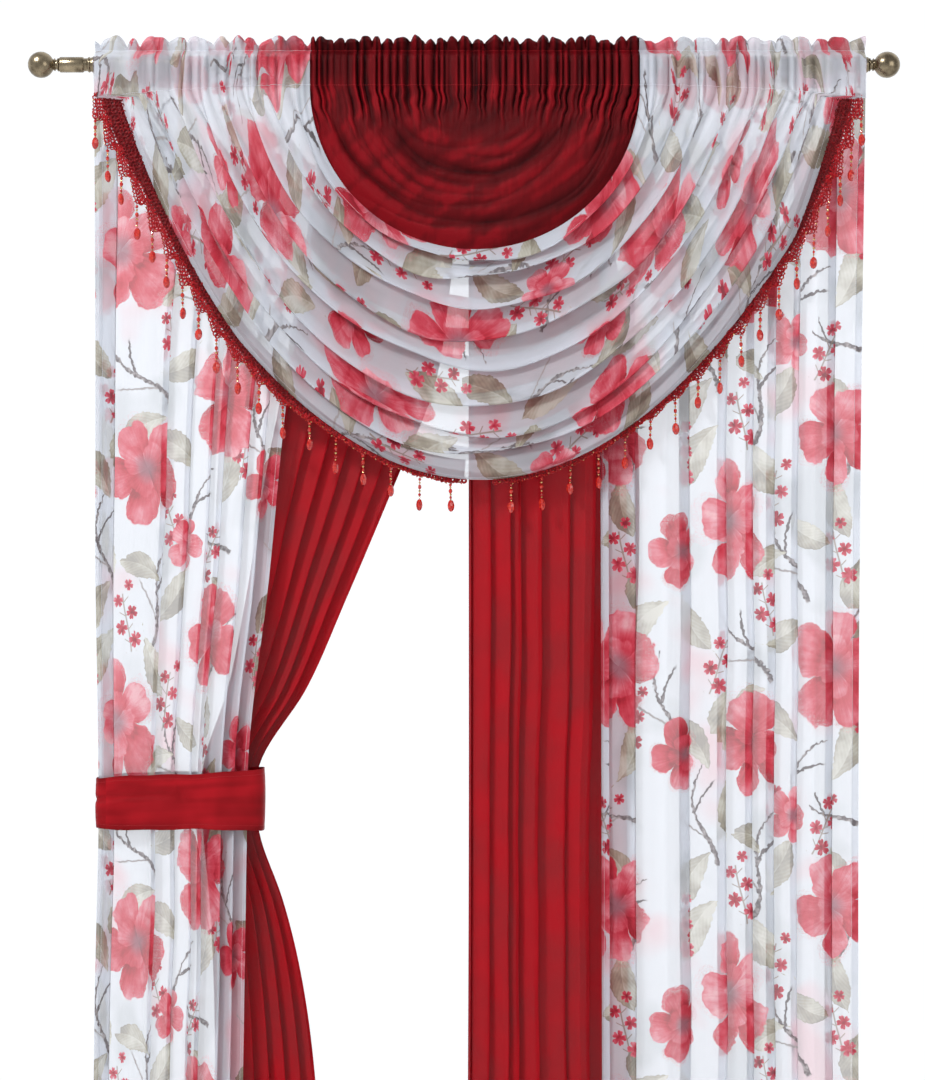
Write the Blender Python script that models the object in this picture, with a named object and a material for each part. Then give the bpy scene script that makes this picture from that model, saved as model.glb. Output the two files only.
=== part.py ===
"""A window curtain set on its rod.

Two printed sheer panels and two plain red sheer panels hang side by side on one rod by their pockets. A band
ties the left pair. A draped valance of the printed sheer, with a red scoop in its middle and a beaded trim on
its outer edge, has its gathered heading over the same rod.

X runs along the rod, Z is up and the front faces -Y. The origin is on the rod's axis, halfway between its
finials. Lengths are millimetres until MM turns them to metres, where a mesh is made.
"""

import math

import bmesh
import bpy
import numpy as np

MM = 0.001
GAP = 0.3

# Rod: a 1 inch tube, with a groove where its sleeve ends near the left finial
ROD_RADIUS = 12.7
ROD_HALF = 666.0
ROD_SIDES = 24
GROOVE = {"from": -626.0, "to": -618.0, "radius": 10.5, "chamfer": 1.0}
BALL_RADIUS = 21.5
BALL_CENTRE = 697.0
BALL_FROM_DEGREES = 150
BALL_STEP_DEGREES = 20
NECK_RADIUS = 8.0
NECK_RINGS = (
    # (distance from the rod's end, how far it stands out from the neck)
    (0.0, 3.0),
    (3.0, 3.0),
    (4.5, 0.0),
    (7.0, 0.0),
    (8.5, 2.5),
)

# Cloth: the voile itself is far thinner, and this is the thinnest that stands as a solid
SHEET = 1.2
BAND = 2.4
SHARP_FOLD = 0.55
CREASE_DEGREES = 50
CLOTH_LENGTH = 2134.0
HEADING_TOP = 42.0
HEM = HEADING_TOP - CLOTH_LENGTH

# Panel pocket: a tunnel round the rod, sewn shut under it
POCKET_SEAM = -30.0
POCKET_FLOOR = -26.0
POCKET_INNER = ROD_RADIUS + GAP
POCKET_OUTER = POCKET_INNER + SHEET
POCKET_LOW_ANGLE = -30
POCKET_STEP = 360 // ROD_SIDES

# Valance heading: it goes over the pockets, with a short flap behind, and is drawn in under its ruffle
HEADING_WALL = 20.1
HEADING_WAVE = 5.0
HEADING_BACK = -34.0
SHOULDER = 6.0
RUFFLE_FOOT = 20.0
RUFFLE_WALL = 9.0
RUFFLE_FOOT_WAVE = 0.6
RUFFLE_TOP_WAVE = 0.9
RUFFLE_SWELLS = ((5.0, 0.061, 0.0), (3.0, 0.147, 1.0))
VALANCE_SEAM = -37.0
CORNER_DROP = 21.0
SCOOP_WALL = 17.5
SCOOP_WAVE = 2.4

# Each panel: where its two edges run, how far behind the rod it hangs, and how deep its folds are
FLORAL_LEFT_EDGES = (
    # (height, left, right, behind, depth)
    (POCKET_SEAM, -610.0, -219.8, 0.0, 0.0),
    (-180.0, -608.4, -236.2, 0.0, 1.0),
    (-537.0, -606.8, -290.3, 0.0, 1.0),
    (-849.0, -606.8, -321.4, 0.0, 1.1),
    (-1160.0, -601.9, -355.9, 0.0, 1.25),
    (-1262.0, -601.9, -357.5, 0.0, 1.25),
    (-1472.0, -606.8, -360.8, 0.0, 1.1),
    (HEM, -613.4, -370.6, 0.0, 1.1),
)
RED_LEFT_EDGES = (
    # (height, left, right, behind, depth)
    (POCKET_SEAM, -214.8, -6.6, 0.0, 0.0),
    (-180.0, -219.8, -11.5, 27.0, 0.9),
    (-390.0, -269.0, -26.0, 27.0, 1.0),
    (-540.0, -300.0, -52.0, 27.0, 1.0),
    (-660.0, -326.4, -102.0, 27.0, 1.0),
    (-881.0, -362.4, -195.2, 27.0, 1.0),
    (-1029.0, -392.0, -260.8, 27.0, 1.05),
    (-1160.0, -433.0, -340.0, 27.0, 1.1),
    (-1262.0, -433.0, -340.0, 27.0, 1.1),
    (-1374.0, -423.0, -301.8, 27.0, 1.0),
    (HEM, -416.6, -216.5, 27.0, 1.1),
)
RED_RIGHT_EDGES = (
    # (height, left, right, behind, depth)
    (POCKET_SEAM, 14.8, 229.6, 0.0, 0.0),
    (-180.0, 11.5, 231.2, 0.0, 1.0),
    (-450.0, 11.5, 275.5, 0.0, 1.0),
    (-1300.0, 11.5, 275.5, 0.0, 1.0),
    (HEM, 8.2, 278.8, 0.0, 1.1),
)
FLORAL_RIGHT_EDGES = (
    # (height, left, right, behind, depth)
    (POCKET_SEAM, 234.5, 662.0, 0.0, 0.0),
    (-180.0, 234.5, 659.3, 0.0, 1.0),
    (-700.0, 237.8, 652.7, 0.0, 1.0),
    (-1300.0, 239.4, 649.4, 0.0, 1.0),
    (HEM, 241.1, 651.1, 0.0, 1.1),
)

# Each panel's folds: how far across the panel each turn of the cloth lies, and how far forward it stands
FLORAL_LEFT_FOLDS = (
    # (share, forward)
    (0.0, 3.0),
    (0.10, -4.0),
    (0.24, -5.0),
    (0.33, -3.0),
    (0.385, 8.0),
    (0.445, -6.0),
    (0.515, 3.0),
    (0.57, -6.0),
    (0.63, 9.0),
    (0.665, -4.0),
    (0.70, 8.0),
    (0.76, -8.0),
    (0.83, 9.0),
    (0.87, -7.0),
    (0.915, 8.0),
    (0.955, -7.0),
    (1.0, 3.0),
)
RED_LEFT_FOLDS = (
    # (share, forward)
    (0.0, -3.0),
    (0.07, 8.0),
    (0.15, -9.0),
    (0.24, 9.0),
    (0.32, -8.0),
    (0.40, 10.0),
    (0.47, -9.0),
    (0.55, 8.0),
    (0.62, -10.0),
    (0.71, 9.0),
    (0.78, -8.0),
    (0.86, 10.0),
    (0.93, -9.0),
    (1.0, 4.0),
)
RED_RIGHT_FOLDS = (
    # (share, forward)
    (0.0, 2.0),
    (0.056, -5.0),
    (0.118, 6.0),
    (0.18, -6.0),
    (0.236, 8.0),
    (0.267, -4.0),
    (0.298, 7.0),
    (0.36, -7.0),
    (0.422, 9.0),
    (0.503, -6.0),
    (0.59, 3.0),
    (0.64, -6.0),
    (0.677, 8.0),
    (0.739, -5.0),
    (0.801, -24.0),
    (0.90, -20.0),
    (1.0, -27.0),
)
FLORAL_RIGHT_FOLDS = (
    # (share, forward)
    (0.0, 4.0),
    (0.051, -6.0),
    (0.106, 9.0),
    (0.161, -7.0),
    (0.228, 8.0),
    (0.327, -4.0),
    (0.398, -7.0),
    (0.469, 9.0),
    (0.524, -8.0),
    (0.575, 8.0),
    (0.618, -7.0),
    (0.661, 8.0),
    (0.709, -8.0),
    (0.752, 8.0),
    (0.787, -6.0),
    (0.819, 7.0),
    (0.898, -4.0),
    (0.949, -6.0),
    (1.0, 3.0),
)
TIED_ROWS = (POCKET_SEAM, -180, -390, -537, -660, -849, -1029, -1160, -1262, -1374, -1700, HEM)
STRAIGHT_ROWS = (POCKET_SEAM, -180, -450, -1000, -1550, HEM)

# Valance folds: each turn of the cloth leaves the rod at left and right, and hangs to its lowest point between.
# Forward is the share of the wave that it stands out by, and the edges and troughs stand back.
VALANCE_FOLDS = (
    # (left, right, lowest, forward)
    (-252.6, 288.6, -307.5, 0.2),
    (-272.2, 309.2, -327.2, 0.9),
    (-291.9, 329.8, -340.3, -0.7),
    (-311.6, 350.4, -356.7, 1.0),
    (-331.3, 371.0, -378.0, -0.8),
    (-351.0, 391.6, -404.3, 0.9),
    (-370.6, 412.2, -428.9, -0.7),
    (-390.3, 432.8, -458.4, 1.0),
    (-410.0, 453.4, -476.4, -0.8),
    (-429.7, 474.0, -502.7, 0.8),
    (-449.4, 494.6, -532.2, -0.8),
    (-469.0, 515.2, -566.6, 1.0),
    (-488.7, 535.8, -591.2, -0.8),
    (-508.4, 556.4, -614.2, 0.9),
    (-528.1, 577.0, -628.9, -0.7),
    (-547.8, 597.6, -645.3, 1.0),
    (-567.4, 618.2, -658.5, -0.7),
    (-587.1, 638.8, -674.9, 0.8),
    (-606.8, 659.4, -684.7, -1.0),
)
VALANCE_ROWS = 18
CORNER_INSET = 44.0
CORNER_STEP = 9.0
LEFT_INSET_END = 0.78
RIGHT_INSET_END = 0.58
INSET_START = 0.35
INNER_ROUNDNESS = 0.5
OUTER_ROUNDNESS = 0.93
WAVE_AT_MIDDLE = 13.0
BELLY_INNER = 8.0
BELLY_OUTER = 20.0

# Scoop: red cloth in the valance's middle, gathered at the rod and in low cowl folds below
SCOOP_MIDDLE = 18.0
SCOOP_HALF = 267.0
SCOOP_DROP = 266.0
SCOOP_SIDE_DROP = 8.0
SCOOP_GATHERS = 11
SCOOP_COLUMNS = 44
SCOOP_ROWS = 9
SCOOP_BELLY = 6.0
SCOOP_LOOSE_WAVE = 3.0
COWL_FOLDS = 3.0
COWL_WAVE = 6.5
COWL_START = 0.45
COWL_RISE = 0.2
COWL_SEWN = 0.12
COWL_BELOW = 0.4
GATHERS_UNTIL = 0.15
GATHERS_FADE = 0.45
BELLY_RISE = 0.3
LOOSE_RISE = 0.12

# Trim: a crochet tape behind the valance's outer edge, with bead drops. The places where it shows are shares
# of the way from the valance's middle to its side.
TAPE_WIDTH = 33.0
TAPE_PLACES = (0.0, 0.2, 0.4, 0.6, 0.75, 0.87)
TAPE_SHOWN = (2.0, 6.0, 12.0, 18.0, 26.0, 31.0)
TAPE_ENDS = (2.0, 87.0)
PATH_SAMPLES = 400
DROP_PITCH = 50.0
DROP_THREAD = 2.4
DROP_ROOT = 2.5
DROP_LENGTHS = (52.0, 60.0, 49.0, 64.0, 56.0)
PENDANT = {"length": 20.0, "widest": 10.0, "half_width": 4.4, "half_depth": 3.4, "tip": 0.8}

# Tie band round the left pair
BAND_LEFT = -606.0
BAND_RIGHT = -331.0
BAND_TOP_LEFT = -1174.0
BAND_TOP_RIGHT = -1161.0
BAND_FOOT_LEFT = -1258.0
BAND_FOOT_RIGHT = -1260.0
BAND_CORNER = 18.0
BAND_CORNER_STEPS = 5
BAND_MARGIN = 5.0


def clear_scene():
    for thing in list(bpy.data.objects):
        bpy.data.objects.remove(thing, do_unlink=True)


def material(name, colour, roughness, metallic=0.0):
    made = bpy.data.materials.new(name)
    made.use_nodes = True
    shader = made.node_tree.nodes["Principled BSDF"]
    shader.inputs["Base Color"].default_value = (*colour, 1.0)
    shader.inputs["Roughness"].default_value = roughness
    shader.inputs["Metallic"].default_value = metallic
    made.diffuse_color = (*colour, 1.0)
    return made


def ease(share):
    """0 up to 0, 1 from 1 on, and a smooth rise between."""
    held = min(max(share, 0.0), 1.0)
    return held * held * (3.0 - 2.0 * held)


def between(table, column, height):
    """A column's value at a height, on a smooth curve through the rows, whose heights fall."""
    heights = [-row[0] for row in table]
    values = [row[column] for row in table]
    slopes = np.gradient(values, heights)
    at = min(max(-height, heights[0]), heights[-1])
    i = min(int(np.searchsorted(heights, at, side="right")) - 1, len(table) - 2)
    span = heights[i + 1] - heights[i]
    share = (at - heights[i]) / span
    rise = ease(share)
    lead_in = share * (1.0 - share) ** 2 * span * slopes[i]
    lead_out = share**2 * (1.0 - share) * span * slopes[i + 1]
    return values[i] * (1.0 - rise) + values[i + 1] * rise + lead_in - lead_out


def with_halfway_rows(table):
    """The rows of a fold table, with one halfway row added in each gap."""
    rows = [table[0]]
    for before, after in zip(table, table[1:]):
        rows.append(tuple((a + b) / 2 for a, b in zip(before, after)))
        rows.append(after)
    return rows


def half_thickness(grid, thickness):
    """At each point of a grid, the step from the sheet's middle to its face, longer at a sharp fold."""
    diagonal = grid[1:, 1:] - grid[:-1, :-1]
    other = grid[1:, :-1] - grid[:-1, 1:]
    face = np.cross(diagonal, other)
    face /= np.linalg.norm(face, axis=2, keepdims=True)
    total = np.zeros_like(grid)
    count = np.zeros((*grid.shape[:2], 1))
    for down in (slice(None, -1), slice(1, None)):
        for across in (slice(None, -1), slice(1, None)):
            total[down, across] += face
            count[down, across] += 1
    mean = total / count
    length = np.linalg.norm(mean, axis=2, keepdims=True)
    return mean / length * thickness / 2 / np.maximum(length, SHARP_FOLD)


def solid_from(name, points, faces, finish):
    """A closed object from points in millimetres, with its faces turned outward."""
    mesh = bpy.data.meshes.new(name)
    mesh.from_pydata([tuple(float(value) * MM for value in point) for point in points], [], faces)
    shape = bmesh.new()
    shape.from_mesh(mesh)
    bmesh.ops.triangulate(shape, faces=shape.faces)
    bmesh.ops.recalc_face_normals(shape, faces=shape.faces)
    if shape.calc_volume(signed=True) < 0:
        bmesh.ops.reverse_faces(shape, faces=shape.faces)
    shape.to_mesh(mesh)
    shape.free()
    mesh.shade_smooth()
    mesh.set_sharp_from_angle(angle=math.radians(CREASE_DEGREES))
    mesh.materials.append(finish)
    made = bpy.data.objects.new(name, mesh)
    bpy.context.scene.collection.objects.link(made)
    return made


def strip(first, second, faces):
    """Quads between two lines of point numbers of one length."""
    for a, b, c, d in zip(first, first[1:], second[1:], second):
        faces.append((a, b, c, d))


def sheet_faces(rows, columns, back, faces, closed_top=True):
    """The two faces and the rims of a sheet whose front points are followed by its back points."""
    lines = [[r * columns + c for c in range(columns)] for r in range(rows)]
    for upper, lower in zip(lines, lines[1:]):
        strip(upper, lower, faces)
        strip([n + back for n in upper], [n + back for n in lower], faces)
    ends = [lines[0], lines[-1]] if closed_top else [lines[-1]]
    for line in ends:
        strip(line, [n + back for n in line], faces)
    for side in (0, columns - 1):
        line = [r * columns + side for r in range(rows)]
        strip(line, [n + back for n in line], faces)


def sheet_solid(name, grid, finish):
    """A closed sheet round a grid of points."""
    rows, columns = grid.shape[:2]
    step = half_thickness(grid, SHEET)
    points = [*(grid + step).reshape(-1, 3), *(grid - step).reshape(-1, 3)]
    faces = []
    sheet_faces(rows, columns, rows * columns, faces)
    return solid_from(name, points, faces, finish)


def turned(name, profile, finish, toward=1):
    """A solid turned about the rod's axis, from rows of (distance along it, radius)."""
    points = []
    faces = []
    for distance, radius in profile:
        for k in range(ROD_SIDES):
            angle = 2 * math.pi * k / ROD_SIDES
            points.append((toward * distance, radius * math.cos(angle), radius * math.sin(angle)))
    rings = [[r * ROD_SIDES + k % ROD_SIDES for k in range(ROD_SIDES + 1)] for r in range(len(profile))]
    for ring, after in zip(rings, rings[1:]):
        strip(ring, after, faces)
    faces.append(tuple(rings[0][:-1]))
    faces.append(tuple(rings[-1][:-1]))
    return solid_from(name, points, faces, finish)


def rod(finish):
    step = GROOVE["chamfer"]
    profile = [
        (-ROD_HALF, ROD_RADIUS),
        (GROOVE["from"], ROD_RADIUS),
        (GROOVE["from"] + step, GROOVE["radius"]),
        (GROOVE["to"] - step, GROOVE["radius"]),
        (GROOVE["to"], ROD_RADIUS),
        (ROD_HALF, ROD_RADIUS),
    ]
    return turned("rod", profile, finish)


def finial(name, toward, finish):
    """A ball on a ringed neck. The neck's flat end meets the rod's end."""
    profile = [(ROD_HALF + GAP + distance, NECK_RADIUS + proud) for distance, proud in NECK_RINGS]
    for degrees in range(BALL_FROM_DEGREES, 0, -BALL_STEP_DEGREES):
        angle = math.radians(degrees)
        profile.append((BALL_CENTRE + BALL_RADIUS * math.cos(angle), BALL_RADIUS * math.sin(angle)))
    return turned(name, profile, finish, toward)


def panel_grid(edges, folds, heights):
    """Points of a hanging panel, a row for each height and a column for each turn of its folds."""
    columns = with_halfway_rows(folds)
    grid = np.zeros((len(heights), len(columns), 3))
    for r, height in enumerate(heights):
        left, right, behind, depth = (between(edges, column, height) for column in (1, 2, 3, 4))
        for c, (share, forward) in enumerate(columns):
            grid[r, c] = (left + (right - left) * share, behind - forward * depth, height)
    return grid


def pocket_loop(radius):
    """The (y, z) points of a pocket's wall, from low at the front, over the rod, to low at the back."""
    angles = range(POCKET_LOW_ANGLE, 181 - POCKET_LOW_ANGLE, POCKET_STEP)
    return [(-radius * math.cos(math.radians(a)), radius * math.sin(math.radians(a))) for a in angles]


def fan(line, left, right, faces):
    """Triangles between a line of points and one edge beside it, which has only its two ends."""
    middle = len(line) // 2
    for a, b in zip(line[:middle], line[1 : middle + 1]):
        faces.append((a, b, left))
    for a, b in zip(line[middle:], line[middle + 1 :]):
        faces.append((a, b, right))
    faces.append((line[middle], right, left))


def panel(name, edges, folds, heights, finish):
    """A panel that hangs by its pocket: the sheet's two faces part at the seam and go round the rod."""
    grid = panel_grid(edges, folds, heights)
    rows, columns = grid.shape[:2]
    step = half_thickness(grid, SHEET)
    front_is_minus = np.where(step[:, :, 1:2] > 0, -1.0, 1.0)
    step *= front_is_minus
    step[0] = (0.0, -SHEET / 2, 0.0)
    points = [tuple(point) for point in (grid + step).reshape(-1, 3)]
    points += [tuple(point) for point in (grid - step).reshape(-1, 3)]
    back = rows * columns
    faces = []
    sheet_faces(rows, columns, back, faces, closed_top=False)

    ends = (grid[0, 0, 0], grid[0, -1, 0])
    outer = {}
    inner = {}
    for side, x in zip(("left", "right"), ends):
        outer[side] = list(range(len(points), len(points) + len(pocket_loop(POCKET_OUTER))))
        points += [(x, y, z) for y, z in pocket_loop(POCKET_OUTER)]
        inner_loop = [(0.0, POCKET_FLOOR), *pocket_loop(POCKET_INNER)]
        inner[side] = list(range(len(points), len(points) + len(inner_loop)))
        points += [(x, y, z) for y, z in inner_loop]

    seam = list(range(columns))
    strip(outer["left"], outer["right"], faces)
    fan(seam, outer["left"][0], outer["right"][0], faces)
    fan([n + back for n in seam], outer["left"][-1], outer["right"][-1], faces)
    strip([*inner["left"], inner["left"][0]], [*inner["right"], inner["right"][0]], faces)
    for side, corner in (("left", 0), ("right", columns - 1)):
        strip(outer[side], inner[side][1:], faces)
        floor, first, last = inner[side][0], inner[side][1], inner[side][-1]
        faces.append((corner, outer[side][0], first, floor))
        faces.append((corner + back, outer[side][-1], last, floor))
        faces.append((corner, floor, corner + back))
    solid_from(name, points, faces, finish)
    return grid


def heading_rows(wall, wave, top):
    """A gathered heading in section: (y, wave, z) from the flap behind the rod, over it, to the seam in front."""
    foot = wave * RUFFLE_FOOT_WAVE
    crest = wave * RUFFLE_TOP_WAVE
    return [
        (wall, wave, HEADING_BACK),
        (wall, wave, SHOULDER),
        (RUFFLE_WALL, foot, RUFFLE_FOOT),
        (0.0, crest, top),
        (-RUFFLE_WALL, foot, RUFFLE_FOOT),
        (-wall, wave, SHOULDER),
    ]


def heading_top(place):
    """The ruffle's uneven top, from its place along the rod."""
    return HEADING_TOP + sum(size * math.sin(place * turn + start) for size, turn, start in RUFFLE_SWELLS)


def corner_inset(share, across, down):
    """How far in from the valance's corner a fold runs: the outer ones leave the heading's flat end free."""
    reach = LEFT_INSET_END if across < 0 else RIGHT_INSET_END
    held = max(1.0 - (down / reach) ** 2, 0.0)
    return CORNER_INSET * held * ease((share - INSET_START) / (1.0 - INSET_START))


def valance_point(fold, share, angle, at_seam=False):
    """A point of the valance on one turn of its folds, at an angle from -90 at the left to 90 at the right."""
    left, right, lowest, forward = fold
    across = math.sin(math.radians(angle))
    down = max(math.cos(math.radians(angle)), 0.0)
    roundness = INNER_ROUNDNESS + (OUTER_ROUNDNESS - INNER_ROUNDNESS) * share
    start = VALANCE_SEAM - CORNER_DROP * share**2
    x = (left + right) / 2 + (right - left) / 2 * across
    if not at_seam:
        start -= CORNER_STEP * share**2
        x -= math.copysign(corner_inset(share, across, down), across)
    z = start + (lowest - start) * down ** (2 * roundness)
    wave = HEADING_WAVE + (WAVE_AT_MIDDLE - HEADING_WAVE) * down
    belly = (BELLY_INNER + (BELLY_OUTER - BELLY_INNER) * share) * down
    return (x, -HEADING_WALL - belly - wave * forward, z)


def valance_grid():
    """Rows go over the rod at the left, down and up along the folds, and over the rod at the right."""
    folds = with_halfway_rows(VALANCE_FOLDS)
    columns = []
    for c, fold in enumerate(folds):
        share = c / (len(folds) - 1)
        left, right, _, forward = fold
        column = []
        for y, wave, z in heading_rows(HEADING_WALL, HEADING_WAVE, heading_top(left)):
            column.append((left, y - wave * forward, z))
        column.append(valance_point(fold, share, -90, at_seam=True))
        for row in range(VALANCE_ROWS + 1):
            column.append(valance_point(fold, share, -90 + 180 * row / VALANCE_ROWS))
        column.append(valance_point(fold, share, 90, at_seam=True))
        for y, wave, z in reversed(heading_rows(HEADING_WALL, HEADING_WAVE, heading_top(right))):
            column.append((right, y - wave * forward, z))
        columns.append(column)
    return np.array(columns).transpose(1, 0, 2)


def scoop_grid():
    """The scoop hangs from its own heading. Its gathers fade out as its cowl folds come in."""
    columns = []
    for c in range(SCOOP_COLUMNS + 1):
        turn = math.pi * (c / SCOOP_COLUMNS - 0.5)
        x = SCOOP_MIDDLE + SCOOP_HALF * math.sin(turn)
        gather = math.cos(2 * math.pi * SCOOP_GATHERS * c / SCOOP_COLUMNS)
        column = []
        for y, wave, z in heading_rows(SCOOP_WALL, SCOOP_WAVE, heading_top(x)):
            column.append((x, y + wave * gather, z))
        drop = SCOOP_SIDE_DROP + SCOOP_DROP * math.cos(turn)
        for row in range(SCOOP_ROWS + 1):
            z = VALANCE_SEAM - drop * row / SCOOP_ROWS
            depth = (VALANCE_SEAM - z) / SCOOP_DROP
            reach = math.hypot(math.sin(turn), depth)
            cowl = ease((reach - COWL_START) / COWL_RISE) * ease((1.0 - reach) / COWL_SEWN)
            cowl *= ease(depth / COWL_BELOW)
            fold = COWL_WAVE * math.cos(2 * math.pi * COWL_FOLDS * (1.0 - reach))
            hang = SCOOP_WALL + SCOOP_BELLY * math.cos(turn) * ease(depth / BELLY_RISE)
            loosened = SCOOP_WAVE + SCOOP_LOOSE_WAVE * math.cos(turn) * ease(depth / LOOSE_RISE)
            gathered = 1.0 - ease((depth - GATHERS_UNTIL) / GATHERS_FADE)
            y = -hang + loosened * gather * gathered - fold * cowl
            column.append((x, y, z))
        columns.append(column)
    return np.array(columns).transpose(1, 0, 2)


def tape_path(first_angle, last_angle):
    """Points on the valance's outer edge at equal steps, each with its outward direction in x and z."""
    fine = np.linspace(first_angle, last_angle, PATH_SAMPLES + 1)
    points = np.array([valance_point(VALANCE_FOLDS[-1], 1.0, angle) for angle in fine])
    lengths = np.concatenate([[0.0], np.cumsum(np.linalg.norm(np.diff(points, axis=0), axis=1))])
    count = int(lengths[-1] // DROP_PITCH)
    margin = (lengths[-1] - (count - 1) * DROP_PITCH) / 2
    path = []
    for k in range(count):
        for side in (-1, 1):
            at = margin + k * DROP_PITCH + side * DROP_THREAD / 2
            here = np.array([np.interp(at, lengths, points[:, axis]) for axis in range(3)])
            ahead = np.array([np.interp(at + 1.0, lengths, points[:, axis]) for axis in range(3)])
            along = (ahead - here) / np.linalg.norm(ahead - here)
            path.append((here, np.array([along[2], 0.0, -along[0]])))
    return path


def shown_width(x):
    """How much of the tape's width shows below the valance: most at the corners, least at the middle."""
    middle = (VALANCE_FOLDS[-1][0] + VALANCE_FOLDS[-1][1]) / 2
    half = (VALANCE_FOLDS[-1][1] - VALANCE_FOLDS[-1][0]) / 2
    return np.interp(abs(x - middle) / half, TAPE_PLACES, TAPE_SHOWN)


def tape(name, first_angle, last_angle, finish):
    """A tape behind the valance's edge, with a thread and a pendant hanging from it at every pitch."""
    path = tape_path(first_angle, last_angle)
    behind = np.array([0.0, SHEET + GAP, 0.0])
    thick = np.array([0.0, SHEET / 2, 0.0])
    inner = []
    outer = []
    for place, outward in path:
        shown = shown_width(place[0])
        inner.append(place + behind + outward * (shown - TAPE_WIDTH))
        outer.append(place + behind + outward * shown)
    count = len(path)
    points = [p - thick for p in outer] + [p - thick for p in inner]
    points += [p + thick for p in outer] + [p + thick for p in inner]
    outer_front = list(range(count))
    inner_front = list(range(count, 2 * count))
    outer_back = list(range(2 * count, 3 * count))
    inner_back = list(range(3 * count, 4 * count))
    faces = []
    strip(outer_front, inner_front, faces)
    strip(outer_back, inner_back, faces)
    strip(inner_front, inner_back, faces)
    for end in (0, -1):
        faces.append((outer_front[end], inner_front[end], inner_back[end], outer_back[end]))
    for k in range(count - 1):
        rim = (outer_front[k], outer_front[k + 1], outer_back[k + 1], outer_back[k])
        if k % 2:
            faces.append(rim)
            continue
        root = (outer[k] + outer[k + 1]) / 2 + path[k][1] * DROP_ROOT
        length = DROP_LENGTHS[k // 2 % len(DROP_LENGTHS)]
        half = DROP_THREAD / 2
        rings = (
            (-DROP_ROOT, half, SHEET / 2),
            (PENDANT["length"] - length, half, SHEET / 2),
            (PENDANT["widest"] - length, PENDANT["half_width"], PENDANT["half_depth"]),
            (-length, PENDANT["tip"], PENDANT["tip"]),
        )
        above = list(rim)
        for drop, wide, deep in rings:
            ring = list(range(len(points), len(points) + 4))
            for x, y in ((-wide, -deep), (wide, -deep), (wide, deep), (-wide, deep)):
                points.append(root + np.array([x, y, drop]))
            strip([*above, above[0]], [*ring, ring[0]], faces)
            above = ring
        faces.append(tuple(above))
    return solid_from(name, points, faces, finish)


def band_outline(front, back):
    """A rectangle with round corners round the tied cloth, seen from above."""
    corners = (
        (BAND_RIGHT, front, -90),
        (BAND_RIGHT, back, 0),
        (BAND_LEFT, back, 90),
        (BAND_LEFT, front, 180),
    )
    outline = []
    for x, y, start in corners:
        inward_x = -1 if x == BAND_RIGHT else 1
        inward_y = 1 if y == front else -1
        centre = (x + inward_x * BAND_CORNER, y + inward_y * BAND_CORNER)
        for k in range(BAND_CORNER_STEPS + 1):
            angle = math.radians(start + 90 * k / BAND_CORNER_STEPS)
            outline.append((centre[0] + BAND_CORNER * math.cos(angle), centre[1] + BAND_CORNER * math.sin(angle)))
    return outline


def tie_band(front, back, finish):
    """A band of two layers round the left pair, a little taller at its right end."""
    half = BAND / 2
    inside = band_outline(front, back)
    points = []
    for grow in (half, -half):
        for top in (True, False):
            for x, y in inside:
                share = (x - BAND_LEFT) / (BAND_RIGHT - BAND_LEFT)
                high = BAND_TOP_LEFT + (BAND_TOP_RIGHT - BAND_TOP_LEFT) * share
                low = BAND_FOOT_LEFT + (BAND_FOOT_RIGHT - BAND_FOOT_LEFT) * share
                middle_x = min(max(x, BAND_LEFT + BAND_CORNER), BAND_RIGHT - BAND_CORNER)
                middle_y = min(max(y, front + BAND_CORNER), back - BAND_CORNER)
                out = np.array([x - middle_x, y - middle_y])
                out *= grow / BAND_CORNER
                points.append((x + out[0], y + out[1], high if top else low))
    count = len(inside)
    lines = [[row * count + k % count for k in range(count + 1)] for row in range(4)]
    outer_top, outer_foot, inner_top, inner_foot = lines
    faces = []
    strip(outer_top, outer_foot, faces)
    strip(inner_top, inner_foot, faces)
    strip(outer_top, inner_top, faces)
    strip(outer_foot, inner_foot, faces)
    return solid_from("tie_band", points, faces, finish)


def build():
    clear_scene()
    antique_metal = material("antique_metal", (0.15, 0.12, 0.08), 0.28, 1.0)
    printed_voile = material("printed_voile", (0.82, 0.84, 0.87), 0.75)
    red_voile = material("red_voile", (0.37, 0.018, 0.024), 0.7)
    red_crochet = material("red_crochet", (0.25, 0.006, 0.012), 0.8)

    rod(antique_metal)
    finial("finial_left", -1, antique_metal)
    finial("finial_right", 1, antique_metal)

    floral = panel("floral_panel_left", FLORAL_LEFT_EDGES, FLORAL_LEFT_FOLDS, TIED_ROWS, printed_voile)
    red = panel("red_panel_left", RED_LEFT_EDGES, RED_LEFT_FOLDS, TIED_ROWS, red_voile)
    panel("red_panel_right", RED_RIGHT_EDGES, RED_RIGHT_FOLDS, STRAIGHT_ROWS, red_voile)
    panel("floral_panel_right", FLORAL_RIGHT_EDGES, FLORAL_RIGHT_FOLDS, STRAIGHT_ROWS, printed_voile)

    lowest = BAND_FOOT_RIGHT - BAND_MARGIN
    highest = BAND_TOP_RIGHT + BAND_MARGIN
    tied = [row for row, height in enumerate(TIED_ROWS) if lowest < height < highest]
    clear = SHEET + GAP + BAND / 2
    tie_band(floral[tied, :, 1].min() - clear, red[tied, :, 1].max() + clear, red_voile)

    sheet_solid("valance", valance_grid(), printed_voile)
    sheet_solid("valance_scoop", scoop_grid(), red_voile)
    tape("trim_left", -TAPE_ENDS[1], -TAPE_ENDS[0], red_crochet)
    tape("trim_right", TAPE_ENDS[0], TAPE_ENDS[1], red_crochet)


build()
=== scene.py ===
"""Printed and red sheer curtains with a draped valance on a rod: the finished look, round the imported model.

Cloth is laid out in millimetres, with X along the rod, Z up and the front towards -Y, and turned to metres
where its mesh is made. The origin is on the rod's axis, halfway between its finials.
"""
import math

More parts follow.
